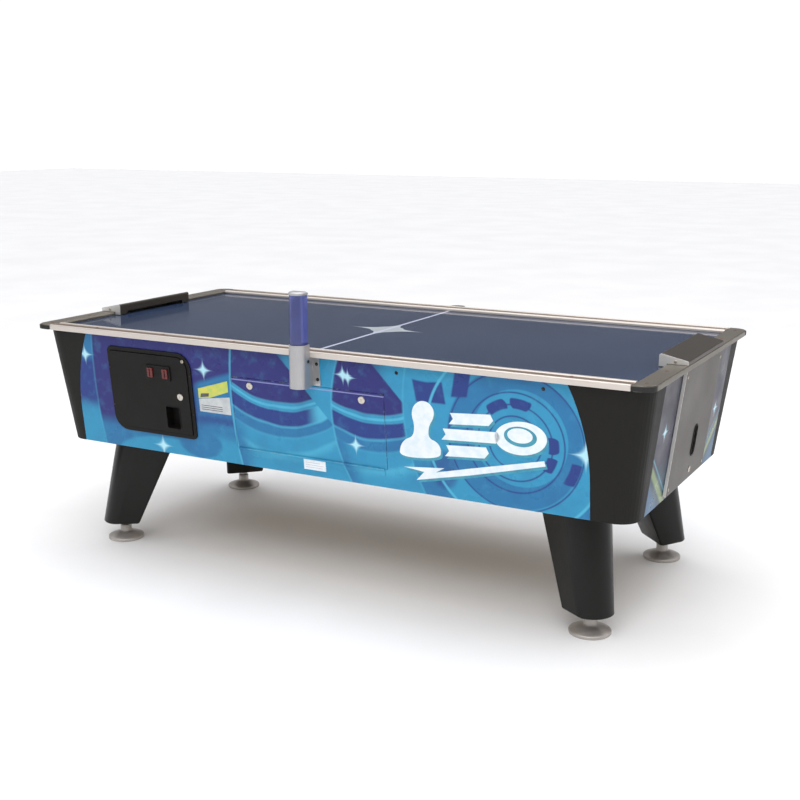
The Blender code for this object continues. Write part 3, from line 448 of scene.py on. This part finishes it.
# ---------------------------------------------------------------- other finishes
def brushed(name, colour, rough, along, spread=0.10, *, wear, bright=None, region=None):
    """Metal with fine lines along one axis, worn edges and, where asked for, a painted highlight over one
    region.
    """
    stretch = tuple(0.03 if axis == along else 1.0 for axis in "XYZ")
    s = Shade(name)
    fine = s.noise(1500.0, 2.0, stretch)
    patches = s.noise(4.0, 3.0)
    blend = s.ramp(fine * 0.5 + patches * 0.5, 0.30, 0.70)
    tone = s.mix(blend, tuple(c * (1 - spread) for c in colour), tuple(c * (1 + spread) for c in colour))
    if region:
        # painted highlight: the region is drawn in a lighter colour of the same metal
        tone = s.mix(region(s), tone, bright)
    tone = s.mix(s.edges(0.0012) * s.ramp(s.noise(60.0, 3.0), 0.40, 0.62), tone, wear)
    s.set(Base_Color=tone, Metallic=0.6, Roughness=s.ramp(blend, 0.0, 1.0, rough - 0.05, rough + 0.07))
    s.set(Normal=s.bump(fine, 0.06, 0.00008))
    return s.material


def rail_lip_highlight(s):
    """The raised inner and outer lips of a side rail, where a painted highlight goes."""
    inward = HALF_WIDTH - s.y.magnitude()
    return inward.under(0.0090, 0.0005) + inward.over(0.0475, 0.0005)


# outer faces of the hood cheeks, where a painted highlight goes
def cheek_highlight(s):
    return s.y.magnitude().over(HOOD_HALF - 0.0006, 0.0003)


def plywood_material():
    s = Shade("birch_plywood")
    grain = s.noise(60.0, 5.0, (0.05, 1.0, 0.05), 0.6)
    ply = ((s.z * 650.0).do("SINE") * 0.5 + 0.5) * 0.25
    tone = s.mix(s.ramp(grain, 0.3, 0.7), rgb(146, 126, 98), rgb(172, 152, 122))
    tone = s.mix(ply * s.ramp(s.noise(12.0), 0.4, 0.7), tone, rgb(112, 92, 68))
    s.set(Base_Color=tone, Roughness=s.ramp(grain, 0.3, 0.7, 0.55, 0.75))
    s.set(Normal=s.bump(grain, 0.2, 0.0003))
    return s.material


def galvanised_material():
    s = Shade("galvanised_sheet")
    spangle = s.cells(160.0)
    tone = s.mix(s.ramp(spangle, 0.1, 0.8), rgb(128, 132, 136), rgb(166, 170, 172))
    s.set(Base_Color=tone, Metallic=1.0, Roughness=s.ramp(spangle, 0.0, 0.9, 0.35, 0.5))
    s.set(Normal=s.bump(s.noise(300.0), 0.08, 0.0001))
    return s.material


def acrylic_material():
    s = Shade("blue_acrylic")
    milky = s.noise(24.0, 3.0)
    s.set(Base_Color=s.mix(s.ramp(milky, 0.35, 0.7), rgb(92, 102, 172), rgb(104, 114, 184)))
    s.set(Roughness=s.ramp(milky, 0.3, 0.7, 0.10, 0.18), Transmission_Weight=0.72, IOR=1.49)
    s.set(Normal=s.bump(s.noise(180.0), 0.04, 0.0001))
    return s.material


def print_material(name, colour, speck):
    s = Shade(name)
    patches = s.noise(40.0, 4.0)
    tone = s.mix(s.ramp(patches, 0.35, 0.75), colour, speck)
    s.set(Base_Color=tone, Roughness=s.ramp(patches, 0.3, 0.7, 0.30, 0.42))
    s.set(Normal=s.bump(s.noise(500.0), 0.08, 0.0001))
    return s.material


BARE_PLASTIC = rgb(66, 64, 58)
FINISH = {
    "laminate": laminate_material("printed_side_laminate", side_art),
    "laminate_end": laminate_material("printed_end_laminate", end_art),
    "moulded_black": surface("moulded_black_plastic", rgb(22, 21, 18), 0.58, spread=0.10, grain=500.0,
                             relief=0.5, depth=0.0003, pebble=650.0, wear=BARE_PLASTIC, wear_width=0.0016,
                             Specular_IOR_Level=0.22),
    "leg_black": surface("leg_laminate", rgb(19, 19, 17), 0.36, spread=0.14, patch=9.0, grain=260.0,
                         stretch=(1, 1, 0.15), relief=0.12, wear=BARE_PLASTIC,
                         Specular_IOR_Level=0.25),
    "playfield": playfield_material(),
    # the lips of the side rails carry a painted highlight
    "rail_aluminium": brushed("anodised_rail", rgb(120, 104, 92), 0.42, "X", 0.06,
                              wear=rgb(226, 224, 220), bright=rgb(208, 200, 192), region=rail_lip_highlight),
    "rail_steel": brushed("end_rail_steel", rgb(112, 106, 96), 0.40, "Y", wear=rgb(190, 188, 182)),
    # the cheek faces of the goal hoods carry a painted highlight
    "goal_steel": brushed("goal_stainless", rgb(68, 62, 55), 0.40, "Z", 0.08,
                          wear=rgb(180, 178, 174), bright=rgb(214, 212, 208), region=cheek_highlight),
    "bumper_rubber": surface("corner_rubber", rgb(26, 26, 25), 0.70, grain=900.0, relief=0.35),
    "foot_steel": surface("plated_foot", rgb(182, 176, 170), 0.45, 0.6, 0.16, 30.0, 600.0, relief=0.3,
                          wear=rgb(196, 192, 186)),
    "bracket_aluminium": brushed("satin_bracket", rgb(172, 171, 172), 0.36, "Z", wear=rgb(236, 236, 236)),
    "post_acrylic": acrylic_material(),
    "door_black": surface("wrinkle_coat", rgb(15, 13, 11), 0.55, 0.0, 0.18, 12.0, 350.0, relief=0.7,
                          depth=0.0004, pebble=520.0, wear=rgb(50, 46, 42), Specular_IOR_Level=0.22),
    "button_red": surface("red_button_plastic", rgb(92, 17, 15), 0.28, spread=0.25, patch=60.0,
                          relief=0.05),
    "lock_steel": surface("plated_lock", rgb(196, 190, 180), 0.26, 1.0, 0.10, 60.0, 1200.0, relief=0.15),
    "plywood": plywood_material(),
    "grey_sheet": galvanised_material(),
    "blower_black": surface("blower_plastic", rgb(44, 44, 46), 0.52, spread=0.12, relief=0.3, pebble=800.0),
}
WHITE_PRINT = print_material("white_print", rgb(232, 238, 242), rgb(214, 228, 236))
TEAL_PRINT = print_material("teal_print", rgb(58, 150, 170), rgb(48, 132, 160))
YELLOW_PRINT = print_material("yellow_print", rgb(206, 200, 84), rgb(160, 196, 96))
GREY_PRINT = print_material("grey_print", rgb(196, 200, 200), rgb(176, 182, 186))
INK_PRINT = print_material("ink_print", rgb(70, 70, 76), rgb(90, 90, 98))
DARK_SCREW = surface("blackened_screw", rgb(44, 42, 40), 0.42, 0.7, 0.2, 80.0, 900.0, relief=0.2,
                     wear=rgb(130, 126, 120))
RAIL_SCREW = surface("bronzed_screw", rgb(112, 78, 66), 0.40, 0.6, 0.25, 90.0, 900.0, relief=0.2,
                     wear=rgb(150, 124, 108))
BRIGHT_SCREW = surface("plated_screw", rgb(176, 168, 156), 0.34, 1.0, 0.18, 90.0, 900.0, relief=0.2)

BODY_OF = {node: body for body, nodes in frame["record"]["behaviour"]["bodies"].items() for node in nodes}
SLOT_OF = {row["node"]: row["material_slot"] for row in frame["record"]["subparts"]}


def finish_of(node):
    slot = SLOT_OF[node]
    if node.startswith("end_panel"):
        slot = "laminate_end"
    if node == "service_hinge":
        slot = "laminate"
    return FINISH[slot]


# ---------------------------------------------------------------- pieces
def add_piece(name, work, material, body=ROOT, replaced=()):
    """Makes an object of a bmesh, parents it to the body it rides on, and hides the CAD nodes it stands
    for.
    """
    bmesh.ops.recalc_face_normals(work, faces=work.faces)
    mesh = bpy.data.meshes.new(name)
    work.to_mesh(mesh)
    work.free()
    mesh.shade_smooth()
    mesh.set_sharp_from_angle(angle=math.radians(35))
    mesh.materials.append(material)
    item = bpy.data.objects.new(name, mesh)
    bpy.context.scene.collection.objects.link(item)
    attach(item, body)
    if replaced:
        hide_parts(*replaced)
    return item


def softened(node, width):
    """A copy of a CAD node with its sharp edges rounded, shown in its place."""
    work = bmesh.new()
    work.from_mesh(frame["nodes"][node].data)
    bmesh.ops.remove_doubles(work, verts=work.verts, dist=1e-6)
    bmesh.ops.dissolve_limit(work, angle_limit=math.radians(0.6), verts=work.verts, edges=work.edges)
    item = add_piece(node + "_finished", work, finish_of(node), BODY_OF[node], [node])
    edge = item.modifiers.new("edges", "BEVEL")
    edge.width, edge.segments = width, 2
    edge.limit_method, edge.angle_limit = "ANGLE", math.radians(28)
    edge.harden_normals = True
    return item


def ring_points(radius, steps):
    angles = [2 * math.pi * i / steps for i in range(steps)]
    return [(radius * math.cos(a), radius * math.sin(a)) for a in angles]


def add_loft(work, sections):
    """Closed solid through rings with equal counts."""
    rings = [[work.verts.new(p) for p in ring] for ring in sections]
    count = len(rings[0])
    for low, high in zip(rings, rings[1:]):
        for i in range(count):
            work.faces.new((low[i], low[(i + 1) % count], high[(i + 1) % count], high[i]))
    work.faces.new(list(reversed(rings[0])))
    work.faces.new(rings[-1])


def add_turned(work, profile, steps, matrix):
    """Profile of (radius, height), starting and ending on the axis."""
    rings = []
    for radius, height in profile:
        if radius < 1e-9:
            rings.append([work.verts.new(matrix @ Vector((0, 0, height)))])
        else:
            circle = [matrix @ Vector((a, b, height)) for a, b in ring_points(radius, steps)]
            rings.append([work.verts.new(p) for p in circle])
    for low, high in zip(rings, rings[1:]):
        for i in range(steps):
            j = (i + 1) % steps
            corners = [low[i % len(low)], low[j % len(low)], high[j % len(high)], high[i % len(high)]]
            work.faces.new(list(dict.fromkeys(corners)))


def cross_outline(reach, half):
    quarter = [(reach, -half), (reach, half), (half, half)]
    points = []
    for turn in range(4):
        c, s = round(math.cos(turn * math.pi / 2)), round(math.sin(turn * math.pi / 2))
        points += [(c * x - s * y, s * x + c * y) for x, y in quarter]
    return points


def add_screw(work, matrix, radius, rise):
    """Low domed head with a cross recess, its seat at the matrix's origin."""
    steps, reach = 20, 0.45
    rim = [(radius, -0.0008), (radius, rise * 0.3), (radius * 0.82, rise * 0.85), (radius * 0.62, rise)]
    rings = [[work.verts.new(matrix @ Vector((a, b, h))) for a, b in ring_points(r, steps)] for r, h in rim]
    for low, high in zip(rings, rings[1:]):
        for i in range(steps):
            work.faces.new((low[i], low[(i + 1) % steps], high[(i + 1) % steps], high[i]))
    work.faces.new(list(reversed(rings[0])))
    outline = cross_outline(radius * reach, radius * 0.11)
    top = [work.verts.new(matrix @ Vector((a, b, rise))) for a, b in outline]
    low = [work.verts.new(matrix @ Vector((a * 0.7, b * 0.9, rise - radius * 0.3))) for a, b in outline]
    count = len(top)
    edges = []
    for loop in (rings[-1], top):
        for i in range(len(loop)):
            pair = (loop[i], loop[(i + 1) % len(loop)])
            edges.append(work.edges.get(pair) or work.edges.new(pair))
    bmesh.ops.triangle_fill(work, use_beauty=True, edges=edges)
    for i in range(count):
        work.faces.new((top[i], top[(i + 1) % count], low[(i + 1) % count], low[i]))
    work.faces.new(list(reversed(low)))


def facing(place, normal, turn=0.0):
    """Matrix at a place, with its Z along a normal and turned about it."""
    z = Vector(normal).normalized()
    up = Vector((0, 0, 1)) if abs(z.z) < 0.9 else Vector((0, 1, 0))
    x = up.cross(z).normalized()
    y = z.cross(x)
    spin = Matrix.Rotation(turn, 4, "Z")
    return Matrix.Translation(place) @ Matrix((x, y, z)).transposed().to_4x4() @ spin


def side_frame(u, z, side=-1, lift=0.0):
    """Matrix on a long side: X along the panel to the right as one faces it, Z outward."""
    normal = Vector((0, side * math.cos(SIDE_LEAN), -math.sin(SIDE_LEAN)))
    place = Vector((-side * u, side * half_y(z), z)) + normal * lift
    return facing(place, normal)


def end_frame(y, z, side=1, proud=0.0):
    """Matrix on an end: Z outward. Proud is measured level."""
    normal = Vector((side * math.cos(END_LEAN), 0, -math.sin(END_LEAN)))
    return facing(Vector((side * (half_x(z) + proud), y, z)), normal)


# ---------------------------------------------------------------- frame nodes: finishes and rounded copies
for node, item in frame["nodes"].items():
    item.data.materials.clear()
    item.data.materials.append(finish_of(node))
    item.data.shade_smooth()

EDGE_WIDTHS = {
    "side_rail": 0.0006, "end_rail": 0.0012, "goal_hood": 0.0009, "end_cover": 0.0010, "leg_": 0.0020,
    "score_bracket": 0.0006, "score_post_cap": 0.0008, "corner_bumper": 0.0008, "coin_door_frame": 0.0012,
    "coin_door": 0.0010, "coin_entry_plate": 0.0008, "coin_return_cup": 0.0005, "coin_button": 0.0008,
    "service_door": 0.0008, "coin_door_lock": 0.0003, "service_lock": 0.0003, "service_hinge": 0.0004,
    "end_panel": 0.0008, "side_panel": 0.0008, "power_inlet": 0.0006, "puck_chute": 0.0004,
}


def edge_width(node):
    best = ""
    for start in EDGE_WIDTHS:
        if node.startswith(start) and len(start) > len(best):
            best = start
    return EDGE_WIDTHS.get(best)


for node in sorted(frame["nodes"]):
    width = edge_width(node)
    if width:
        softened(node, width)


# ---------------------------------------------------------------- screw feet
def levelling_foot(node):
    low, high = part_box(node)
    centre = Matrix.Translation(((low.x + high.x) / 2, (low.y + high.y) / 2, 0))
    rim, stem, height = 0.065, 0.0080, 0.0530
    profile = [(0, 0), (rim - 0.003, 0), (rim - 0.0008, 0.0008), (rim, 0.003), (rim, 0.0085),
               (rim - 0.0010, 0.0104), (rim - 0.0035, 0.0118), (0.055, 0.0145), (0.040, 0.0192),
               (0.028, 0.0240), (0.0225, 0.0268), (0.0205, 0.0300), (0.020, 0.0340), (0.020, 0.0500),
               (0.0192, 0.0516), (0.0175, 0.0526), (stem, height)]
    threads, pitch = 26, 0.0022
    for i in range(threads):
        profile += [(stem - 0.0009, height + pitch * 0.5), (stem, height + pitch)]
        height += pitch
    profile.append((0, height))
    work = bmesh.new()
    add_turned(work, profile, 72, centre)
    nut = [(0.0172, 0.0545), (0.0185, 0.0553), (0.0185, 0.0627), (0.0172, 0.0635)]
    add_loft(work, [[centre @ Vector((a, b, h)) for a, b in ring_points(radius, 6)] for radius, h in nut])
    add_piece(node + "_finished", work, FINISH["foot_steel"], BODY_OF[node], [node])


for side in ("near", "far"):
    for end in ("left", "right"):
        levelling_foot(f"leveller_{side}_{end}")


# ---------------------------------------------------------------- fasteners
COVER_SCREW_Y, COVER_SCREW_Z = 0.188, (0.424, 0.776)
CHEEK_SCREW = (1.085, HOOD_HALF, 0.8225)
HOOD_SCREW_X, HOOD_SCREW_Y = (1.045, 1.075), 0.185
HOOD_TOP, HOOD_INNER, HOOD_SLOPE = 0.0270, 1.035, 0.19      # above the rail, at x, and falling outward
BRACKET_BOLT_X, BRACKET_BOLT_Z = 0.0378, (0.722, 0.772)
BRACKET_FLANGE = 0.0044
SOCKET_BOLT = (0.0295, 0.5560, 0.785)
DOOR_SCREW_U, DOOR_SCREW_Z = -0.497, 0.7300
FRAME_SCREW_U, FRAME_SCREW_Z = (-0.8205, -0.4735), (0.545, 0.680)


def rail_fasteners():
    work = bmesh.new()
    for sy in (-1, 1):
        for i in range(-3, 4):
            place = (i * RAIL_SCREW_PITCH, sy * (HALF_WIDTH - RAIL_SCREW_INSET), HEIGHT - 0.0025)
            add_screw(work, facing(place, (0, 0, 1), 0.4 * i), 0.0060, 0.0014)
    add_piece("side_rail_screws", work, RAIL_SCREW)
    work = bmesh.new()
    for sx in (-1, 1):
        for y in END_SCREW_Y:
            place = (sx * END_SCREW_X, y, HEIGHT - 0.0010)
            add_screw(work, facing(place, (0, 0, 1), 3.0 * y), 0.0060, 0.0010)
    add_piece("end_rail_screws", work, RAIL_SCREW)


def cover_fasteners():
    work = bmesh.new()
    for sx in (-1, 1):
        for z in COVER_SCREW_Z:
            for sy in (-1, 1):
                add_screw(work, end_frame(sy * COVER_SCREW_Y, z, sx, COVER_PROUD), 0.0055, 0.0018)
        for sy in (-1, 1):
            x, y, z = CHEEK_SCREW
            add_screw(work, facing((sx * x, sy * y, z), (0, sy, 0)), 0.0050, 0.0016)
            for x in HOOD_SCREW_X:
                place = (sx * x, sy * HOOD_SCREW_Y, HEIGHT + HOOD_TOP - (x - HOOD_INNER) * HOOD_SLOPE)
                add_screw(work, facing(place, (sx * 0.18, 0, 1)), 0.0042, 0.0014)
    add_piece("cover_screws", work, BRIGHT_SCREW)


def panel_fasteners():
    work = bmesh.new()
    for side in (-1, 1):
        for u in PANEL_SCREW_U:
            add_screw(work, side_frame(u, PANEL_SCREW_Z, side), 0.0058, 0.0020)
    for u in PANEL_SCREW_U:
        add_screw(work, side_frame(-u, PANEL_SCREW_Z, 1), 0.0058, 0.0020)
    add_piece("panel_screws", work, DARK_SCREW)


def bracket_fasteners():
    work = bmesh.new()
    for side in (-1, 1):
        for u in (-BRACKET_BOLT_X, BRACKET_BOLT_X):
            for z in BRACKET_BOLT_Z:
                add_screw(work, side_frame(u, z, side, BRACKET_FLANGE), 0.0055, 0.0030)
        for sx in (-1, 1):
            x, y, z = SOCKET_BOLT
            add_screw(work, facing((sx * x, side * y, z), (sx, 0, 0)), 0.0055, 0.0035)
    add_piece("bracket_bolts", work, DARK_SCREW)


def coin_door_fasteners():
    work = bmesh.new()
    add_screw(work, side_frame(DOOR_SCREW_U, DOOR_SCREW_Z, -1, 0.0080), 0.0062, 0.0020)
    add_piece("coin_door_screws", work, BRIGHT_SCREW, "coin_door")
    work = bmesh.new()
    for u in FRAME_SCREW_U:
        for z in FRAME_SCREW_Z:
            add_screw(work, side_frame(u, z, -1, 0.0050), 0.0030, 0.0012)
    add_piece("coin_frame_screws", work, DARK_SCREW)


rail_fasteners()
cover_fasteners()
panel_fasteners()
bracket_fasteners()
coin_door_fasteners()


# ---------------------------------------------------------------- rubber from the corners to the side rails
STRIP_X = (1.0606, 1.0970)
STRIP_Z = (0.7975, 0.8108)


def bumper_strips():
    work = bmesh.new()
    for sx in (-1, 1):
        for sy in (-1, 1):
            rings = []
            for out, inset in ((-0.0006, 0.0), (0.0007, 0.0), (0.0012, 0.0006)):
                x0, x1 = STRIP_X[0] + inset, STRIP_X[1] - inset
                z0, z1 = STRIP_Z[0] + inset, STRIP_Z[1] - inset
                outline = [(x0, z0), (x1, z0), (x1, z1), (x0, z1)]
                rings.append([(sx * x, sy * (HALF_WIDTH + out), z) for x, z in outline])
            add_loft(work, rings)
    add_piece("corner_strips", work, FINISH["bumper_rubber"])


bumper_strips()


# ---------------------------------------------------------------- puck return: slot bezel and cover lock
def stadium(radius, half):
    """Upright outline with round ends about two centres."""
    points, steps = [], 10
    for i in range(steps + 1):
        a = math.pi * i / steps
        points.append((radius * math.cos(a), half + radius * math.sin(a)))
    for i in range(steps + 1):
        a = math.pi + math.pi * i / steps
        points.append((radius * math.cos(a), -half + radius * math.sin(a)))
    return points


def slot_bezel(sx, name):
    work = bmesh.new()
    matrix = end_frame(RETURN_Y, RETURN_Z, sx, COVER_PROUD)
    inner = RETURN_RADIUS
    section = [(inner, -0.0030), (inner, 0.0018), (0.0182, 0.0026), (0.0205, 0.0024), (0.0222, 0.0003)]
    rings = []
    for radius, rise in section:
        outline = stadium(radius, RETURN_STRAIGHT)
        rings.append([work.verts.new(matrix @ Vector((a, b, rise))) for a, b in outline])
    count = len(rings[0])
    for low, high in zip(rings, rings[1:] + rings[:1]):
        for i in range(count):
            work.faces.new((low[i], low[(i + 1) % count], high[(i + 1) % count], high[i]))
    add_piece(name, work, FINISH["moulded_black"])


def cover_lock(sx, name):
    work = bmesh.new()
    profile = [(0, -0.001), (0.0105, -0.001), (0.0105, 0.0016), (0.0092, 0.0026), (0.0070, 0.0030),
               (0.0066, 0.0022), (0, 0.0022)]
    add_turned(work, profile, 28, end_frame(RETURN_Y, COVER_LOCK_Z, sx, COVER_PROUD))
    add_piece(name, work, FINISH["lock_steel"])


for sx, end in ((-1, "left"), (1, "right")):
    slot_bezel(sx, "puck_slot_bezel_" + end)
    cover_lock(sx, "cover_lock_" + end)


# ---------------------------------------------------------------- printed pieces on the long sides
def add_decal(work, outline, side, lift, thick=0.00018):
    """Thin film on a long side. The outline is (u, height above the floor)."""
    levels = (lift, lift + thick)
    add_loft(work, [[side_frame(u, z, side, level).translation for u, z in outline] for level in levels])


def shifted(outline, du, dz):
    return [(u + du, z + dz) for u, z in outline]


def ellipse(u0, z0, wide, high):
    angles = [2 * math.pi * i / 36 for i in range(36)]
    return [(u0 + wide * math.cos(a), z0 + high * math.sin(a)) for a in angles]


def softened_outline(points):
    """Outline with its corners cut three times over, which makes them round."""
    for _ in range(3):
        cut = []
        for (ax, ay), (bx, by) in zip(points, points[1:] + points[:1]):
            cut.append((ax * 0.75 + bx * 0.25, ay * 0.75 + by * 0.25))
            cut.append((ax * 0.25 + bx * 0.75, ay * 0.25 + by * 0.75))
        points = cut
    return points


def emblem_shapes():
    """A mallet, a puck and three speed bars, leaning the same way, and a swoosh under them."""
    lean = 0.16

    def slanted(points):
        return [(u + (z - 0.50) * lean, z) for u, z in points]

    mallet = [(0.315, 0.500), (0.455, 0.512), (0.455, 0.545), (0.438, 0.566), (0.408, 0.574),
              (0.404, 0.612), (0.418, 0.640), (0.416, 0.668), (0.394, 0.690), (0.366, 0.692),
              (0.344, 0.672), (0.342, 0.642), (0.356, 0.612), (0.356, 0.574), (0.330, 0.562),
              (0.315, 0.540)]
    bars = []
    for low, high, start, end in ((0.524, 0.560, 0.470, 0.600), (0.576, 0.612, 0.452, 0.630),
                                  (0.628, 0.664, 0.470, 0.600)):
        middle = (low + high) / 2
        bars.append([(start, low), (end, low + 0.010), (end + 0.012, middle + 0.010),
                     (end, high + 0.010), (start, high), (start + 0.012, middle)])
    puck = ellipse(0.705, 0.612, 0.082, 0.052)
    swoosh = [(0.372, 0.432), (0.560, 0.474), (0.800, 0.536), (0.796, 0.552), (0.560, 0.496),
              (0.440, 0.466), (0.470, 0.484), (0.330, 0.470), (0.400, 0.462)]
    return [slanted(shape) for shape in [softened_outline(mallet), puck] + bars] + [swoosh]


def emblems():
    white, teal = bmesh.new(), bmesh.new()
    for side in (-1, 1):
        for shape in emblem_shapes():
            add_decal(teal, shifted(shape, 0.006, -0.008), side, 0.0001)
            add_decal(white, shape, side, 0.0004)
        add_decal(teal, ellipse(0.7225, 0.617, 0.052, 0.031), side, 0.0007)
        add_decal(white, ellipse(0.7215, 0.620, 0.040, 0.023), side, 0.0010)
    add_piece("emblem_white", white, WHITE_PRINT)
    add_piece("emblem_shadow", teal, TEAL_PRINT)


def placard():
    """A small pale plate with a yellow streak and plain rules, beside the coin door."""
    grey, yellow, ink = bmesh.new(), bmesh.new(), bmesh.new()
    add_decal(grey, [(-0.447, 0.560), (-0.318, 0.560), (-0.318, 0.622), (-0.447, 0.604)], -1, 0.0001)
    add_decal(yellow, [(-0.447, 0.606), (-0.400, 0.612), (-0.322, 0.640), (-0.322, 0.678),
                       (-0.380, 0.660), (-0.447, 0.640)], -1, 0.0003)
    add_decal(ink, [(-0.440, 0.610), (-0.405, 0.616), (-0.402, 0.628), (-0.436, 0.624)], -1, 0.0006)
    for z in (0.568, 0.575, 0.582):
        add_decal(ink, [(-0.438, z), (-0.352, z), (-0.352, z + 0.0022), (-0.438, z + 0.0022)], -1, 0.0003)
    add_piece("placard_plate", grey, GREY_PRINT)
    add_piece("placard_streak", yellow, YELLOW_PRINT)
    add_piece("placard_rules", ink, INK_PRINT)


LABEL_THICK = 0.0022        # it lies over the edge of the service door's hinge


def rating_label():
    white, ink = bmesh.new(), bmesh.new()
    outline = [(-0.041, 0.411), (0.042, 0.411), (0.042, 0.4455), (-0.041, 0.4455)]
    add_decal(white, outline, -1, 0.0001, LABEL_THICK)
    for z, end in ((0.419, 0.030), (0.427, 0.036), (0.435, 0.022)):
        rule = [(-0.034, z), (end, z), (end, z + 0.0012), (-0.034, z + 0.0012)]
        add_decal(ink, rule, -1, LABEL_THICK + 0.0002)
    add_piece("rating_label", white, WHITE_PRINT)
    faint = print_material("faint_print", rgb(190, 176, 184), rgb(176, 170, 178))
    add_piece("rating_label_rules", ink, faint)


emblems()
placard()
rating_label()


# ---------------------------------------------------------------- floor and light
def make_stage():
    work = bmesh.new()
    corners = [work.verts.new(p) for p in ((-30, -30, 0), (30, -30, 0), (30, 30, 0), (-30, 30, 0))]
    work.faces.new(corners)
    mesh = bpy.data.meshes.new("floor")
    work.to_mesh(mesh)
    work.free()
    floor = bpy.data.objects.new("floor", mesh)
    bpy.context.scene.collection.objects.link(floor)
    s = Shade("pale_floor")
    tone = s.mix(s.ramp(s.noise(1.5, 3.0), 0.3, 0.7), (0.84, 0.84, 0.84), (0.88, 0.88, 0.88))
    s.set(Base_Color=tone, Roughness=0.85)
    mesh.materials.append(s.material)


def area_light(name, place, target, size, power):
    data = bpy.data.lights.new(name, "AREA")
    data.shape, data.size, data.size_y = "RECTANGLE", size[0], size[1]
    data.energy = power
    item = bpy.data.objects.new(name, data)
    bpy.context.scene.collection.objects.link(item)
    item.location = place
    item.rotation_euler = (Vector(target) - Vector(place)).to_track_quat("-Z", "Y").to_euler()


def make_world():
    """White at the horizon, dark above it for the metals to reflect, and bright overhead."""
    world = bpy.data.worlds.new("studio")
    world.use_nodes = True
    bpy.context.scene.world = world
    tree = world.node_tree
    back = tree.nodes["Background"]
    place = tree.nodes.new("ShaderNodeTexCoord")
    split = tree.nodes.new("ShaderNodeSeparateXYZ")
    ramp = tree.nodes.new("ShaderNodeValToRGB")
    tree.links.new(place.outputs["Generated"], split.inputs[0])
    tree.links.new(split.outputs[2], ramp.inputs[0])
    tree.links.new(ramp.outputs[0], back.inputs["Color"])
    # brightness against the sine of the height above the horizon
    stops = [(0.0, 0.62), (0.10, 0.62), (0.116, 0.07), (0.45, 0.12), (0.75, 0.90), (1.0, 1.0)]
    while len(ramp.color_ramp.elements) < len(stops):
        ramp.color_ramp.elements.new(0.5)
    for element, (at, level) in zip(ramp.color_ramp.elements, stops):
        element.position, element.color = at, (level, level, level * 1.02, 1)
    back.inputs["Strength"].default_value = 1.75


make_stage()
make_world()
area_light("key", (1.5, -4.5, 4.0), (0, 0, 0.5), (4.0, 2.5), 95)
area_light("top", (0.0, 0.5, 4.5), (0, 0, 0.6), (5.0, 3.0), 60)
area_light("right", (4.5, -0.5, 2.2), (0.8, 0, 0.6), (2.5, 2.5), 8)
bpy.context.scene.view_settings.view_transform = "Standard"
